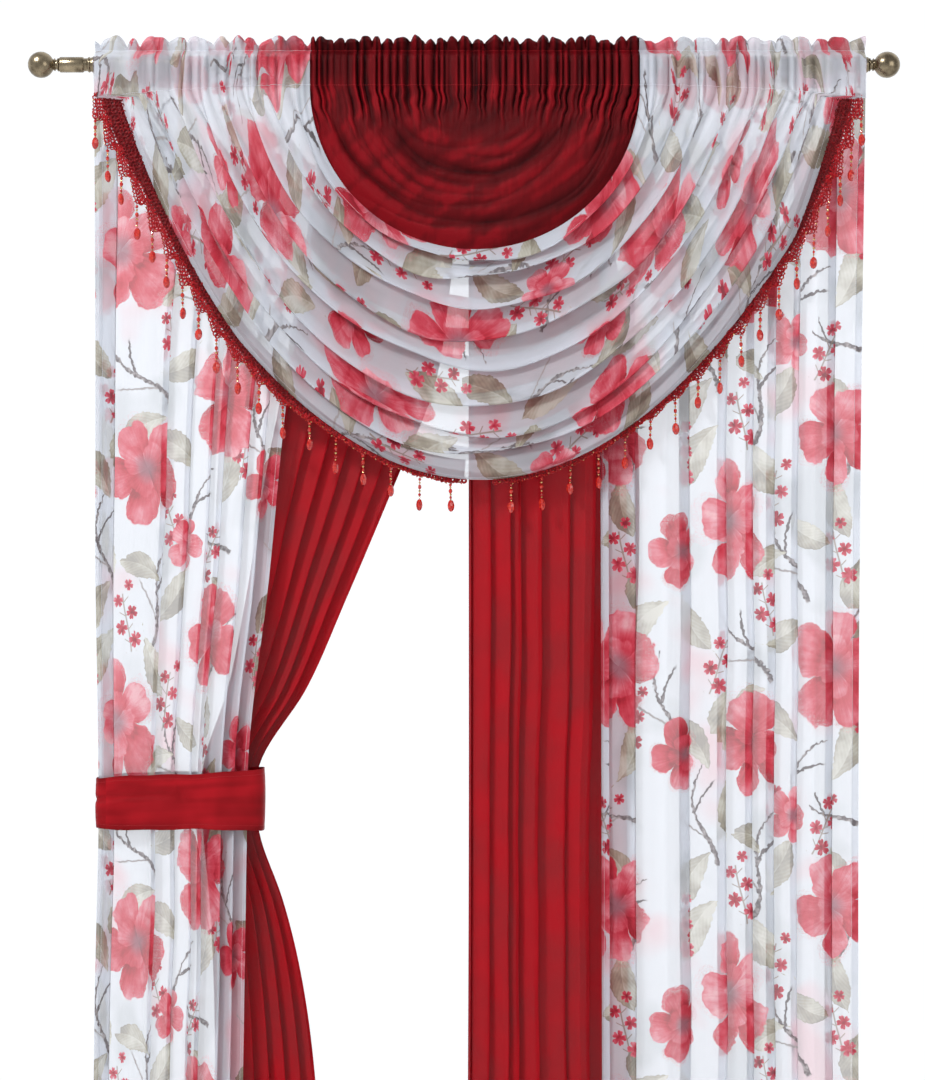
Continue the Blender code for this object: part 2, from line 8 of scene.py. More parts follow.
import bpy
import numpy as np
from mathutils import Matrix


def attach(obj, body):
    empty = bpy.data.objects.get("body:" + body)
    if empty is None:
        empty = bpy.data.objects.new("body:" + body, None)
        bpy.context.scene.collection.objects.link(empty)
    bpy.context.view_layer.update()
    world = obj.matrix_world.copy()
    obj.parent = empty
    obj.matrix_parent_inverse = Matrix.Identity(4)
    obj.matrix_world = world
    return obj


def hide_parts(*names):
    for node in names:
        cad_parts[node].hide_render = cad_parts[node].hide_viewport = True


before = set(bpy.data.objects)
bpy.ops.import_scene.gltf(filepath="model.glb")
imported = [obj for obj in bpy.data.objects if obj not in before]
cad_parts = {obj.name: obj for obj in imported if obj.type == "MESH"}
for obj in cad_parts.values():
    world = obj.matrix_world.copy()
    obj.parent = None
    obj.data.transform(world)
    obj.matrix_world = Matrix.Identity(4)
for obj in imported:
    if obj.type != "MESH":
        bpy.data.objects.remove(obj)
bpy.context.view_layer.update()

MM = 0.001

# Studio: a pale floor, soft lamps in front, and a white surround. It is brighter behind the curtains, where
# it lights the voile through, as a window does.
FLOOR_HEIGHT = -2.135
FLOOR_REACH = 30.0
# The floor ends this far behind, so that its far edge stays below the photograph's frame.
FLOOR_BEHIND = 1.9
BRIGHTNESS_IN_FRONT = 0.48
BRIGHTNESS_BEHIND = 1.13


def linear(hex_colour):
    """An sRGB hex colour as the linear values that Blender's sockets take."""
    parts = [int(hex_colour[i : i + 2], 16) / 255 for i in (1, 3, 5)]
    turned = [p / 12.92 if p <= 0.04045 else ((p + 0.055) / 1.055) ** 2.4 for p in parts]
    return (*turned, 1.0)


def add(tree, kind, *inputs, **settings):
    """A node with its settings, and with its inputs, in their order, set or linked. None leaves one alone."""
    made = tree.nodes.new(kind)
    for name, value in settings.items():
        setattr(made, name, value)
    for socket, value in zip(made.inputs, inputs):
        if value is None:
            continue
        if isinstance(value, bpy.types.Node):
            tree.links.new(value.outputs[0], socket)
        elif isinstance(value, bpy.types.NodeSocket):
            tree.links.new(value, socket)
        else:
            socket.default_value = value
    return made


def wire(tree, node, **sources):
    """Links sources to a node's inputs by name."""
    for name, source in sources.items():
        tree.links.new(source, node.inputs[name])


def with_bump(tree, shader, strength, distance, heights, **settings):
    """Gives a shader a relief from heights."""
    bump = add(tree, "ShaderNodeBump", strength, distance, None, heights, **settings)
    wire(tree, shader, Normal=bump.outputs[0])


def new_material(name):
    """An empty material and its node tree."""
    made = bpy.data.materials.new(name)
    made.use_nodes = True
    made.node_tree.nodes.clear()
    return made, made.node_tree


def set_inputs(shader, values):
    """Sets constants on a shader's own sockets by name."""
    for name, value in values.items():
        shader.inputs[name].default_value = value


def object_from(name, points, faces, material):
    """An object at the origin from points in metres."""
    mesh = bpy.data.meshes.new(name)
    mesh.from_pydata([tuple(point) for point in points], [], faces)
    mesh.materials.append(material)
    mesh.shade_smooth()
    made = bpy.data.objects.new(name, mesh)
    bpy.context.scene.collection.objects.link(made)
    return made


# Painted paper has a faint tooth and no gloss.
studio_paper, tree = new_material("studio paper")
paper_tooth = add(tree, "ShaderNodeTexNoise", None, None, 40.0)
paper = add(tree, "ShaderNodeBsdfPrincipled", linear("#F4F4F3"))
set_inputs(paper, {"Roughness": 0.95, "Specular IOR Level": 0.1})
with_bump(tree, paper, 0.02, 0.002, paper_tooth)
add(tree, "ShaderNodeOutputMaterial", paper)

corners = [
    (-FLOOR_REACH, -FLOOR_REACH, FLOOR_HEIGHT),
    (FLOOR_REACH, -FLOOR_REACH, FLOOR_HEIGHT),
    (FLOOR_REACH, FLOOR_BEHIND, FLOOR_HEIGHT),
    (-FLOOR_REACH, FLOOR_BEHIND, FLOOR_HEIGHT),
]
object_from("studio_floor", corners, [(0, 1, 2, 3)], studio_paper)

world = bpy.data.worlds.new("studio")
bpy.context.scene.world = world
world.use_nodes = True
tree = world.node_tree
surround = tree.nodes["Background"]
set_inputs(surround, {"Color": linear("#F3F5F8")})
direction = add(tree, "ShaderNodeTexCoord").outputs["Generated"]
direction = add(tree, "ShaderNodeSeparateXYZ", direction)
levels = (BRIGHTNESS_IN_FRONT, BRIGHTNESS_BEHIND)
brightness = add(tree, "ShaderNodeMapRange", direction.outputs["Y"], -0.2, 0.35, *levels)
brightness.interpolation_type = "SMOOTHSTEP"
wire(tree, surround, Strength=brightness.outputs[0])


def area_lamp(name, place, aim, size, watts):
    """A square soft white lamp at a place, turned towards its aim."""
    lamp = bpy.data.lights.new(name, "AREA")
    lamp.size = size
    lamp.energy = watts
    made = bpy.data.objects.new(name, lamp)
    bpy.context.scene.collection.objects.link(made)
    made.location = place
    towards = [a - p for a, p in zip(aim, place)]
    flat = math.hypot(towards[0], towards[1])
    made.rotation_euler = (math.atan2(flat, -towards[2]), 0.0, math.atan2(-towards[0], towards[1]))
    made.visible_camera = False


area_lamp("key_lamp", place=(-2.6, -2.4, 2.3), aim=(0.0, 0.0, -0.6), size=0.8, watts=140)
area_lamp("fill_lamp", place=(2.8, -3.6, 0.0), aim=(0.0, 0.0, -0.9), size=2.5, watts=34)

# The photograph's frame is 925 by 1080, and a pixel at the curtains is 1.64 mm.
PHOTO_SIZE = (925, 1080)
PIXEL_MM = 1.64
ROD_PIXEL = (464.0, 62.5)
LENS_MM = 85.0
SENSOR_MM = 36.0
CLOTH_FRONT = -0.02
view_height = PHOTO_SIZE[1] * PIXEL_MM * MM
camera_data = bpy.data.cameras.new("camera")
camera_data.lens = LENS_MM
camera_data.sensor_width = SENSOR_MM
camera = bpy.data.objects.new("camera", camera_data)
bpy.context.scene.collection.objects.link(camera)
bpy.context.scene.camera = camera
camera.location = (
    (PHOTO_SIZE[0] / 2 - ROD_PIXEL[0]) * PIXEL_MM * MM,
    -view_height * LENS_MM / SENSOR_MM + CLOTH_FRONT,
    (ROD_PIXEL[1] - PHOTO_SIZE[1] / 2) * PIXEL_MM * MM,
)
camera.rotation_euler = (math.pi / 2, 0.0, 0.0)
bpy.context.scene.view_settings.view_transform = "Standard"
bpy.context.scene.cycles.transparent_max_bounces = 14
bpy.context.scene.cycles.max_bounces = 3
bpy.context.scene.cycles.adaptive_threshold = 0.15

# Rod and finials: a steel tube of 1 inch with a sleeve and a collar at its left end, and turned finials on
# ringed necks, plated and darkened to look like old brass. They replace the plain turned solids.
ROD_RADIUS = 12.7
ROD_HALF = 666.0
BALL_RADIUS = 21.5
BALL_CENTRE = 697.0
LATHE_SIDES = 72


def tone_ramp(tree, value, *stops):
    """Colours along a value, from rows of a position and a colour."""
    ramp = add(tree, "ShaderNodeValToRGB", value)
    elements = ramp.color_ramp.elements
    elements[0].position, elements[0].color = stops[0][0], linear(stops[0][1])
    elements[1].position, elements[1].color = stops[-1][0], linear(stops[-1][1])
    for position, colour in stops[1:-1]:
        elements.new(position).color = linear(colour)
    return ramp


# Darkened brass plate: warm grey metal in darker and lighter patches, with fine turning lines round the axis.
antique_brass, tree = new_material("antique brass plate")
place = add(tree, "ShaderNodeTexCoord")
turning = add(tree, "ShaderNodeMapping", place.outputs["Object"])
turning.inputs["Scale"].default_value = (900.0, 20.0, 20.0)
lines = add(tree, "ShaderNodeTexNoise", turning, None, 1.0, 2.0)
patina = add(tree, "ShaderNodeTexNoise", place.outputs["Object"], None, 60.0, 3.0)
tones = tone_ramp(tree, patina, (0.35, "#6E6250"), (0.7, "#A8997F"))
polish = add(tree, "ShaderNodeMapRange", lines, 0.3, 0.7, 0.2, 0.34)
metal = add(tree, "ShaderNodeBsdfPrincipled", tones)
set_inputs(metal, {"Metallic": 1.0})
wire(tree, metal, Roughness=polish.outputs[0])
with_bump(tree, metal, 0.06, 0.001, lines)
add(tree, "ShaderNodeOutputMaterial", metal)


def turned_piece(name, profile, toward=1):
    """A closed piece turned about the rod's axis from rows of (distance, radius) in millimetres."""
    points = []
    for distance, radius in profile:
        for k in range(LATHE_SIDES):
            angle = 2 * math.pi * k / LATHE_SIDES
            across = toward * radius * math.cos(angle)
            points.append((toward * distance * MM, across * MM, radius * math.sin(angle) * MM))
    faces = []
    for ring in range(len(profile) - 1):
        for k in range(LATHE_SIDES):
            a = ring * LATHE_SIDES + k
            b = ring * LATHE_SIDES + (k + 1) % LATHE_SIDES
            faces.append((a, a + LATHE_SIDES, b + LATHE_SIDES, b))
    faces.append(tuple(range(LATHE_SIDES)))
    last = (len(profile) - 1) * LATHE_SIDES
    faces.append(tuple(reversed(range(last, last + LATHE_SIDES))))
    made = object_from(name, points, faces, antique_brass)
    made.data.set_sharp_from_angle(angle=math.radians(40))
    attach(made, "root")
    return made


def bead_of_profile(start, width, low, high, steps=6):
    """Rows of a turned half-round ring from low radius, up to high and back."""
    return [
        (start + width * k / steps, low + (high - low) * math.sin(math.pi * k / steps))
        for k in range(steps + 1)
    ]


rod_profile = [(-ROD_HALF, 11.7), (-ROD_HALF + 1.2, ROD_RADIUS), (-628.5, ROD_RADIUS), (-626.6, 12.0)]
rod_profile += [(-625.8, 10.6), (-620.5, 10.6)]
rod_profile += bead_of_profile(-619.8, 5.0, 11.2, 12.7)
rod_profile += [(-614.0, 11.4), (-612.0, 12.6), (ROD_HALF - 1.2, 12.6), (ROD_HALF, 11.7)]
rod = turned_piece("rod_tube", rod_profile)
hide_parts("rod")

finial_profile = [(ROD_HALF + 0.3, 9.0), (ROD_HALF + 0.8, 10.8)]
finial_profile += bead_of_profile(ROD_HALF + 0.9, 3.0, 9.6, 11.0)
finial_profile += [(ROD_HALF + 4.2, 8.2), (ROD_HALF + 6.2, 7.9)]
finial_profile += bead_of_profile(ROD_HALF + 6.6, 3.2, 8.4, 10.6)
for degrees in range(152, 2, -6):
    angle = math.radians(degrees)
    finial_profile.append((BALL_CENTRE + BALL_RADIUS * math.cos(angle), BALL_RADIUS * math.sin(angle)))
finial_profile += [(BALL_CENTRE + 21.4, 1.2)]
for side, toward in (("left", -1), ("right", 1)):
    finial = turned_piece("finial_ball_" + side, finial_profile, toward)
    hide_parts("finial_" + side)

# Red panels: plain dark red polyester voile, woven from fine twisted thread. Each hangs by a pocket sewn
# along its top, with a narrow hem down each side and a deep one at its foot.
GAP = 0.3
CLOTH_LENGTH = 2134.0
HEADING_TOP = 42.0
HEM = HEADING_TOP - CLOTH_LENGTH
FOOT_HEM = 60.0
SIDE_HEM = 12.0
POCKET_SEAM = -30.0
POCKET_SEAM_BEHIND = 1.4
POCKET_RADIUS = 13.6
POCKET_STEPS = 26
PANEL_ROWS = 150
POCKET_FROM = 215.0
POCKET_SWEEP = 250.0
OPENING_LENGTH = 150.0
# The pocket's own fine gathers, the puckers that they leave below its seam, and how the cloth that hangs from
# it sways and folds finely.
POCKET_GATHER = 2.6
POCKET_EASE = 0.25
SEAM_WAVE = 0.9
PUCKER_GATHER = 2.2
PUCKER = 1.1
PUCKER_LENGTH = 220.0
SWAY = 2.2
SWAY_PITCH = 620.0
SMALL_FOLD = 0.5
SMALL_FOLD_PITCH = 23.0
THREAD_MM = 0.9
# The cloth's hollows get painted shade and its crests a painted highlight: how far beside a point is looked
# at, how deep a full hollow is, how dark a hollow is painted, and how much lighter a crest.
HOLLOW_REACH = 14.0
HOLLOW_DEPTH = 7.0
HOLLOW_PAINTED_SHADE = 0.67
CREST_PAINTED_HIGHLIGHT = 0.14
HEM_GAP = 0.5


def calc(tree, operation, *inputs, **settings):
    """A math node."""
    return add(tree, "ShaderNodeMath", *inputs, operation=operation, **settings)


def vector_calc(tree, operation, *inputs):
    """A vector math node."""
    return add(tree, "ShaderNodeVectorMath", *inputs, operation=operation)


def flat_noise(tree, place, scale, detail):
    """Noise in the cloth's own plane."""
    return add(tree, "ShaderNodeTexNoise", place, None, scale, detail, noise_dimensions="2D")


def thread_relief(tree, flat_place, unevenness):
    """Warp and weft as waves in the cloth's own plane, bent by its unevenness, and drawn coarser than voile's
    0.2 mm threads so that they show. Gives the height of the threads, from -1 to 1."""
    along = add(tree, "ShaderNodeSeparateXYZ", flat_place)
    bent = calc(tree, "MULTIPLY", unevenness, 25.0)
    turns_per_metre = 2 * math.pi / (THREAD_MM * MM)
    height = 0.0
    for axis in (0, 1):
        turn = calc(tree, "MULTIPLY_ADD", along.outputs[axis], turns_per_metre, bent)
        wave = calc(tree, "SINE", turn)
        height = calc(tree, "MULTIPLY_ADD", wave, 0.5, height)
    return height


def sheer_cloth(tree, colour, cover, unevenness, glow, gaps, gloss):
    """Ends a voile's tree: threads that shade and glow, with gaps between them that let the view through, and
    with thin creases along the folds, some 8 mm apart. Its colour gets painted shade in the cloth's hollows
    and a painted highlight on its crests."""
    flat_place = add(tree, "ShaderNodeUVMap", uv_map="cloth")
    threads = thread_relief(tree, flat_place, unevenness)
    crease_place = vector_calc(tree, "MULTIPLY", flat_place, (110.0, 9.0, 0.0))
    creases = flat_noise(tree, crease_place, 1.0, 1.0)
    relief = calc(tree, "MULTIPLY_ADD", creases, 9.0, threads)
    hollow = add(tree, "ShaderNodeAttribute", attribute_name="hollow").outputs["Fac"]
    # Painted shade in hollows and a painted highlight on crests.
    darker = add(tree, "ShaderNodeMapRange", hollow, 0.0, 1.0, 1.0, HOLLOW_PAINTED_SHADE)
    lighter = add(tree, "ShaderNodeMapRange", hollow, -1.0, 0.0, CREST_PAINTED_HIGHLIGHT, 0.0)
    shade = calc(tree, "ADD", darker, lighter)
    colour = vector_calc(tree, "SCALE", colour, None, None, shade)
    face = add(tree, "ShaderNodeBsdfPrincipled", colour)
    set_inputs(face, gloss)
    with_bump(tree, face, 0.35, 0.0003, relief)
    through = add(tree, "ShaderNodeBsdfTranslucent", colour)
    lit = add(tree, "ShaderNodeMixShader", glow, face, through)
    opening = calc(tree, "MULTIPLY_ADD", threads, gaps, cover, use_clamp=True)
    clear = add(tree, "ShaderNodeBsdfTransparent")
    whole = add(tree, "ShaderNodeMixShader", opening, clear, lit)
    add(tree, "ShaderNodeOutputMaterial", whole)


# Red voile: dyed polyester, deep red with a soft shine along its folds. One layer lets some light through.
red_voile, tree = new_material("red polyester voile")
flat = add(tree, "ShaderNodeUVMap", uv_map="cloth")
dye = flat_noise(tree, flat, 9.0, 2.0)
reds = tone_ramp(tree, dye, (0.3, "#990B17"), (0.7, "#AE101D"))
cover = add(tree, "ShaderNodeMapRange", dye, 0.3, 0.7, 0.988, 0.996)
red_gloss = {"Roughness": 0.5, "Specular IOR Level": 0.09, "Sheen Weight": 0.01, "Sheen Roughness": 0.4}
red_gloss["Sheen Tint"] = linear("#E0656A")
sheer_cloth(tree, reds, cover, dye, 0.22, 0.006, red_gloss)


def ease(share):
    """0 up to 0, 1 from 1 on, and a smooth rise between."""
    held = np.clip(share, 0.0, 1.0)
    return held * held * (3.0 - 2.0 * held)


def between(table, column, height):
    """A column's value at a height, on a smooth curve through the rows, whose heights fall."""
    heights = [-row[0] for row in table]
    values = [row[column] for row in table]
    slopes = np.gradient(values, heights)
    at = min(max(-height, heights[0]), heights[-1])
    i = min(int(np.searchsorted(heights, at, side="right")) - 1, len(table) - 2)
    span = heights[i + 1] - heights[i]
    share = (at - heights[i]) / span
    rise = ease(share)
    lead_in = share * (1.0 - share) ** 2 * span * slopes[i]
    lead_out = share**2 * (1.0 - share) * span * slopes[i + 1]
    return values[i] * (1.0 - rise) + values[i + 1] * rise + lead_in - lead_out


def pleats(table, steps, tuck, crease):
    """Rows between those of a fold table. A turn that stands back is tucked behind the one before it, by a
    share of the way between them, so that each fold laps over the next. Crease is how sharp its turns are."""
    ends = [list(row) for row in table]
    for i in range(1, len(table) - 1):
        before, here, after = table[i - 1], table[i], table[i + 1]
        if here[-1] < before[-1] and here[-1] < after[-1]:
            for column in range(len(here) - 1):
                ends[i][column] = before[column] - tuck * (here[column] - before[column])
    rows = []
    for before, after in zip(ends, ends[1:]):
        for k in range(steps):
            share = k / steps
            place = share + crease * (ease(share) - share)
            swing = share + (1 - crease) * ((1 - math.cos(math.pi * share)) / 2 - share)
            row = [a + (b - a) * place for a, b in zip(before[:-1], after[:-1])]
            rows.append([*row, before[-1] + (after[-1] - before[-1]) * swing])
    rows.append(ends[-1])
    return np.array(rows)


def hollows(grid):
    """How far each point of a grid lies behind the cloth beside it, from -1 on a crest to 1 in a hollow."""
    spacing = max(float(np.median(np.linalg.norm(np.diff(grid, axis=1), axis=2))), 0.1)
    reach = max(int(HOLLOW_REACH / spacing), 1)
    depths = np.pad(grid[..., 1], ((0, 0), (reach + 1, reach)), mode="edge")
    sums = np.cumsum(depths, axis=1)
    beside = (sums[:, 2 * reach + 1 :] - sums[:, : -2 * reach - 1]) / (2 * reach + 1)
    return np.clip((grid[..., 1] - beside) / HOLLOW_DEPTH, -1.0, 1.0)


def cloth_piece(name, patches, material, paint=None):
    """A thin sheet from patches, each a grid of points and of flat places, both in millimetres. The first one
    keeps how deep its hollows are, which its material uses for painted shade in the hollows and a painted
    highlight on the crests."""
    points = []
    faces = []
    flats = []
    start = 0
    for grid, flat_places in patches:
        rows, columns = grid.shape[:2]
        number = start + np.arange(rows * columns).reshape(rows, columns)
        corners = [number[:-1, :-1], number[1:, :-1], number[1:, 1:], number[:-1, 1:]]
        faces.append(np.stack(corners, axis=-1).reshape(-1, 4))
        points.append(grid.reshape(-1, 3))
        flats.append(flat_places.reshape(-1, 2))
        start += rows * columns
    points = np.concatenate(points) * MM
    faces = np.concatenate(faces)
    flats = np.concatenate(flats)
    mesh = bpy.data.meshes.new(name)
    mesh.vertices.add(len(points))
    mesh.vertices.foreach_set("co", points.ravel())
    mesh.loops.add(faces.size)
    mesh.loops.foreach_set("vertex_index", faces.ravel())
    mesh.polygons.add(len(faces))
    mesh.polygons.foreach_set("loop_start", np.arange(len(faces)) * 4)
    mesh.update(calc_edges=True)
    mesh.uv_layers.new(name="cloth").data.foreach_set("uv", (flats[faces] * MM).ravel())
    if paint:
        paint(mesh, flats[faces])
    # How far each point lies in a hollow, for the painted shade and highlight.
    deep = np.zeros(len(points))
    first = hollows(patches[0][0]).ravel()
    deep[: len(first)] = first
    mesh.attributes.new("hollow", "FLOAT", "POINT").data.foreach_set("value", deep)
    mesh.materials.append(material)
    mesh.shade_smooth()
    made = bpy.data.objects.new(name, mesh)
    bpy.context.scene.collection.objects.link(made)
    return made


def along_length(grid, axis):
    """The distance walked over a grid of points along one axis."""
    steps = np.linalg.norm(np.diff(grid, axis=axis), axis=2)
    zero = np.zeros_like(np.take(steps, [0], axis=axis))
    return np.concatenate([zero, np.cumsum(steps, axis=axis)], axis=axis)


def soft_waves(place, pitch, seed):
    """Uneven waves from about -1 to 1, with the pitch of the main one."""
    turn = 2 * np.pi * place / pitch
    return (
        0.6 * np.sin(turn + seed)
        + 0.3 * np.sin(turn * 1.73 + seed * 2.3 + 1.0)
        + 0.2 * np.sin(turn * 2.91 + seed * 3.1 + 2.0)
    )


def geometry_tree(name, inputs):
    """A geometry node tree with its named inputs, and the node that they come in by."""
    tree = bpy.data.node_groups.new(name, "GeometryNodeTree")
    tree.interface.new_socket("Geometry", in_out="INPUT", socket_type="NodeSocketGeometry")
    for label, kind, value in inputs:
        socket = tree.interface.new_socket(label, in_out="INPUT", socket_type=kind)
        if value is not None:
            socket.default_value = value
    tree.interface.new_socket("Geometry", in_out="OUTPUT", socket_type="NodeSocketGeometry")
    return tree, tree.nodes.new("NodeGroupInput")


def end_tree(tree, geometry, material):
    """Ends a tree: makes its copies real and gives them their material."""
    real = add(tree, "GeometryNodeRealizeInstances", geometry)
    finished = add(tree, "GeometryNodeSetMaterial", real, None, material)
    add(tree, "NodeGroupOutput", finished)


def grown(name, points, edges, tree, values, sizes=None):
    """A plain mesh that a tree grows from points and edges in millimetres, with its inputs set by name."""
    mesh = bpy.data.meshes.new(name + "_base")
    mesh.from_pydata([tuple(np.array(point) * MM) for point in points], edges, [])
    if sizes is not None:
        kept = mesh.attributes.new("size", "FLOAT_VECTOR", "POINT")
        kept.data.foreach_set("vector", np.array(sizes).ravel() * MM)
    base = bpy.data.objects.new(name, mesh)
    bpy.context.scene.collection.objects.link(base)
    modifier = base.modifiers.new("growth", "NODES")
    modifier.node_group = tree
    for item in tree.interface.items_tree:
        if item.item_type == "SOCKET" and item.name in values:
            modifier[item.identifier] = values[item.name]
    bpy.context.view_layer.update()
    evaluated = base.evaluated_get(bpy.context.evaluated_depsgraph_get())
    finished = bpy.data.meshes.new_from_object(evaluated)
    base.modifiers.remove(modifier)
    base.data = finished
    finished.name = name
    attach(base, "root")
    return base


# Sewing thread: spun polyester in the cloth's own colour, with the slant of its twist.
sewing_threads = {}
for slot, label, tone in (
    ("printed_voile", "white sewing thread", "#D3D8E0"),
    ("red_voile", "red sewing thread", "#A8121E"),
):
    sewing_threads[slot], tree = new_material(label)
    place = add(tree, "ShaderNodeTexCoord")
    per_metre = (1400.0, 1400.0, 1400.0)
    twist_place = vector_calc(tree, "MULTIPLY", place.outputs["Object"], per_metre)
    twist = add(tree, "ShaderNodeTexNoise", twist_place, None, 1.0, 1.0)
    spun = add(tree, "ShaderNodeBsdfPrincipled", linear(tone))
    set_inputs(spun, {"Roughness": 0.5, "Specular IOR Level": 0.35})
    with_bump(tree, spun, 0.4, 0.0003, twist)
    add(tree, "ShaderNodeOutputMaterial", spun)

# Stitches: short ends of thread, one at every pitch along a line, each laid along it.
stitch_tree, given = geometry_tree(
    "stitches",
    (
        ("Pitch", "NodeSocketFloat", 0.0033),
        ("Length", "NodeSocketFloat", 0.0025),
        ("Thread", "NodeSocketFloat", 0.00026),
        ("Material", "NodeSocketMaterial", None),
    ),
)
line = add(stitch_tree, "GeometryNodeMeshToCurve", given.outputs["Geometry"])
spaced = add(stitch_tree, "GeometryNodeCurveToPoints", line)
spaced.mode = "LENGTH"
wire(stitch_tree, spaced, Length=given.outputs["Pitch"])
stitch = add(stitch_tree, "GeometryNodeMeshCylinder", 5)
wire(stitch_tree, stitch, Radius=given.outputs["Thread"], Depth=given.outputs["Length"])
copies = add(stitch_tree, "GeometryNodeInstanceOnPoints", spaced, None, stitch)
wire(stitch_tree, copies, Rotation=spaced.outputs["Rotation"])
end_tree(stitch_tree, copies, given.outputs["Material"])


def stitched(name, lines, slot, off=(0.0, -0.35, 0.0)):
    """Rows of stitches along lines of points in millimetres, laid on the cloth."""
    points = []
    edges = []
    for line in lines:
        start = len(points)
        points += list(line + np.array(off))
        edges += [(start + k, start + k + 1) for k in range(len(line) - 1)]
    stitches = grown(name, points, edges, stitch_tree, {"Material": sewing_threads[slot]})
    return stitches


def hanging_panel(edges, folds, seed, tuck, steps=8):
    """The sheet's patches: from the pocket's seam behind the rod, over it, and down to the foot, then the
    hems. With them its flat width and length, and the lines that its pocket and hems are sewn along."""
    turns = pleats(folds, steps, tuck, 0.6)
    shares = turns[:, 0]
    forward = turns[:, 1]
    number = np.linspace(0.0, 1.0, len(shares))
    rows = []
    pocket_width = edges[0][2] - edges[0][1]
    plain_x = edges[0][1] + pocket_width * number
    gathers = np.sin(number * pocket_width / POCKET_GATHER + seed)
    radius = POCKET_RADIUS + POCKET_EASE * (1 + gathers)
    for k in range(POCKET_STEPS + 1):
        angle = math.radians(POCKET_FROM - POCKET_SWEEP * k / POCKET_STEPS)
        rows.append(np.stack([plain_x, -radius * math.cos(angle), radius * math.sin(angle)], axis=1))
    seam_y = SEAM_WAVE * gathers + POCKET_SEAM_BEHIND
    rows.insert(0, np.stack([plain_x, seam_y, np.full_like(number, POCKET_SEAM)], axis=1))
    heights = POCKET_SEAM - (POCKET_SEAM - HEM) * (np.arange(PANEL_ROWS + 1) / PANEL_ROWS)
    for height in heights:
        left, right, behind, depth = (between(edges, column, height) for column in (1, 2, 3, 4))
        opened = ease((POCKET_SEAM - height) / OPENING_LENGTH)
        place = shares * opened + number * (1 - opened)
        sway = SWAY * opened * soft_waves(height + 260.0 * number, SWAY_PITCH, seed)
        sway *= np.sin(np.pi * np.clip(place, 0, 1))
        x = left + (right - left) * place + sway
        puckered = 1 - ease((POCKET_SEAM - height) / PUCKER_LENGTH)
        pucker = PUCKER * puckered * np.sin(number * pocket_width / PUCKER_GATHER + seed)
        along_folds = place * (right - left) + 0.03 * height
        small = SMALL_FOLD * opened * soft_waves(along_folds, SMALL_FOLD_PITCH, seed + 1.0)
        y = behind - forward * depth + pucker + small
        rows.append(np.stack([x, y, np.full_like(x, height)], axis=1))
    grid = np.array(rows)
    across = along_length(grid, 1)
    widest = across[:, -1].argmax()
    flat_across = np.broadcast_to(across[widest], grid.shape[:2])
    middle = grid.shape[1] // 2
    down = along_length(grid, 0)[:, middle : middle + 1]
    flat_down = np.broadcast_to(-down, grid.shape[:2])
    flat = np.stack([flat_across, flat_down], axis=2)
    behind_step = np.array([0.0, HEM_GAP, 0.0])
    foot = np.searchsorted(-heights, -(HEM + FOOT_HEM)) + POCKET_STEPS + 2
    left_hem = max(int(np.searchsorted(across[widest], SIDE_HEM)), 1) + 1
    right_hem = int(np.searchsorted(across[widest], across[widest, -1] - SIDE_HEM))
    patches = [(grid, flat)]
    top = POCKET_STEPS + 2
    for part in (np.s_[foot:, :], np.s_[top:, :left_hem], np.s_[top:, right_hem:]):
        patches.append((grid[part] + behind_step, flat[part]))
    hung = grid[top:]
    sewn = (hung[0], grid[foot], hung[:, left_hem - 1], hung[:, right_hem])
    return patches, across[widest, -1], down[-1, 0], sewn


def hang_panel(name, edges, folds, seed, tuck, slot, material, paint=None):
    """Hangs a panel's sheet, with its stitches, in the place of its plain node."""
    patches, flat_width, flat_length, sewn = hanging_panel(edges, folds, seed, tuck)
    sheet = cloth_piece(name.replace("panel", "voile"), patches, material, paint)
    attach(sheet, "root")
    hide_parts(name)
    stitches = stitched(name.replace("panel", "stitches"), sewn, slot)


RED_LEFT_EDGES = (
    # (height, left, right, behind, depth)
    (POCKET_SEAM, -214.8, -6.6, 0.0, 0.0),
    (-180.0, -244.0, -11.5, 27.0, 0.9),
    (-390.0, -279.0, -26.0, 27.0, 1.0),
    (-540.0, -303.0, -52.0, 27.0, 1.0),
    (-660.0, -326.4, -102.0, 27.0, 1.0),
    (-881.0, -362.4, -195.2, 27.0, 1.0),
    (-1029.0, -392.0, -260.8, 27.0, 1.05),
    (-1160.0, -433.0, -340.0, 27.0, 1.1),
    (-1262.0, -433.0, -340.0, 27.0, 1.1),
    (-1374.0, -423.0, -301.8, 27.0, 1.0),
    (HEM, -416.6, -216.5, 27.0, 1.1),
)
RED_LEFT_FOLDS = (
    # (share, forward)
    (0.0, -3.0),
    (0.07, 8.0),
    (0.15, -9.0),
    (0.24, 9.0),
    (0.32, -8.0),
    (0.40, 10.0),
    (0.47, -9.0),
    (0.55, 8.0),
    (0.62, -10.0),
    (0.71, 9.0),
    (0.78, -8.0),
    (0.86, 10.0),
    (0.93, -9.0),
    (1.0, 4.0),
)
RED_RIGHT_EDGES = (
    # (height, left, right, behind, depth)
    (POCKET_SEAM, 14.8, 229.6, 0.0, 0.0),
    (-180.0, 11.5, 231.2, 0.0, 1.0),
    (-450.0, 11.5, 275.5, 0.0, 1.0),
    (-1300.0, 11.5, 275.5, 0.0, 1.0),
    (HEM, 8.2, 278.8, 0.0, 1.1),
)
RED_RIGHT_FOLDS = (
    # (share, forward)
    (0.0, 2.0),
    (0.056, -5.0),
    (0.118, 6.0),
    (0.18, -6.0),
    (0.236, 8.0),
    (0.267, -4.0),
    (0.298, 7.0),
    (0.36, -7.0),
    (0.422, 9.0),
    (0.503, -6.0),
    (0.59, 3.0),
    (0.64, -6.0),
    (0.677, 8.0),
    (0.739, -5.0),
    (0.801, -24.0),
    (0.90, -20.0),
    (1.0, -27.0),
)
RED_TUCK = 0.25
hang_panel("red_panel_left", RED_LEFT_EDGES, RED_LEFT_FOLDS, 1.3, RED_TUCK, "red_voile", red_voile)
hang_panel("red_panel_right", RED_RIGHT_EDGES, RED_RIGHT_FOLDS, 4.1, RED_TUCK, "red_voile", red_voile)
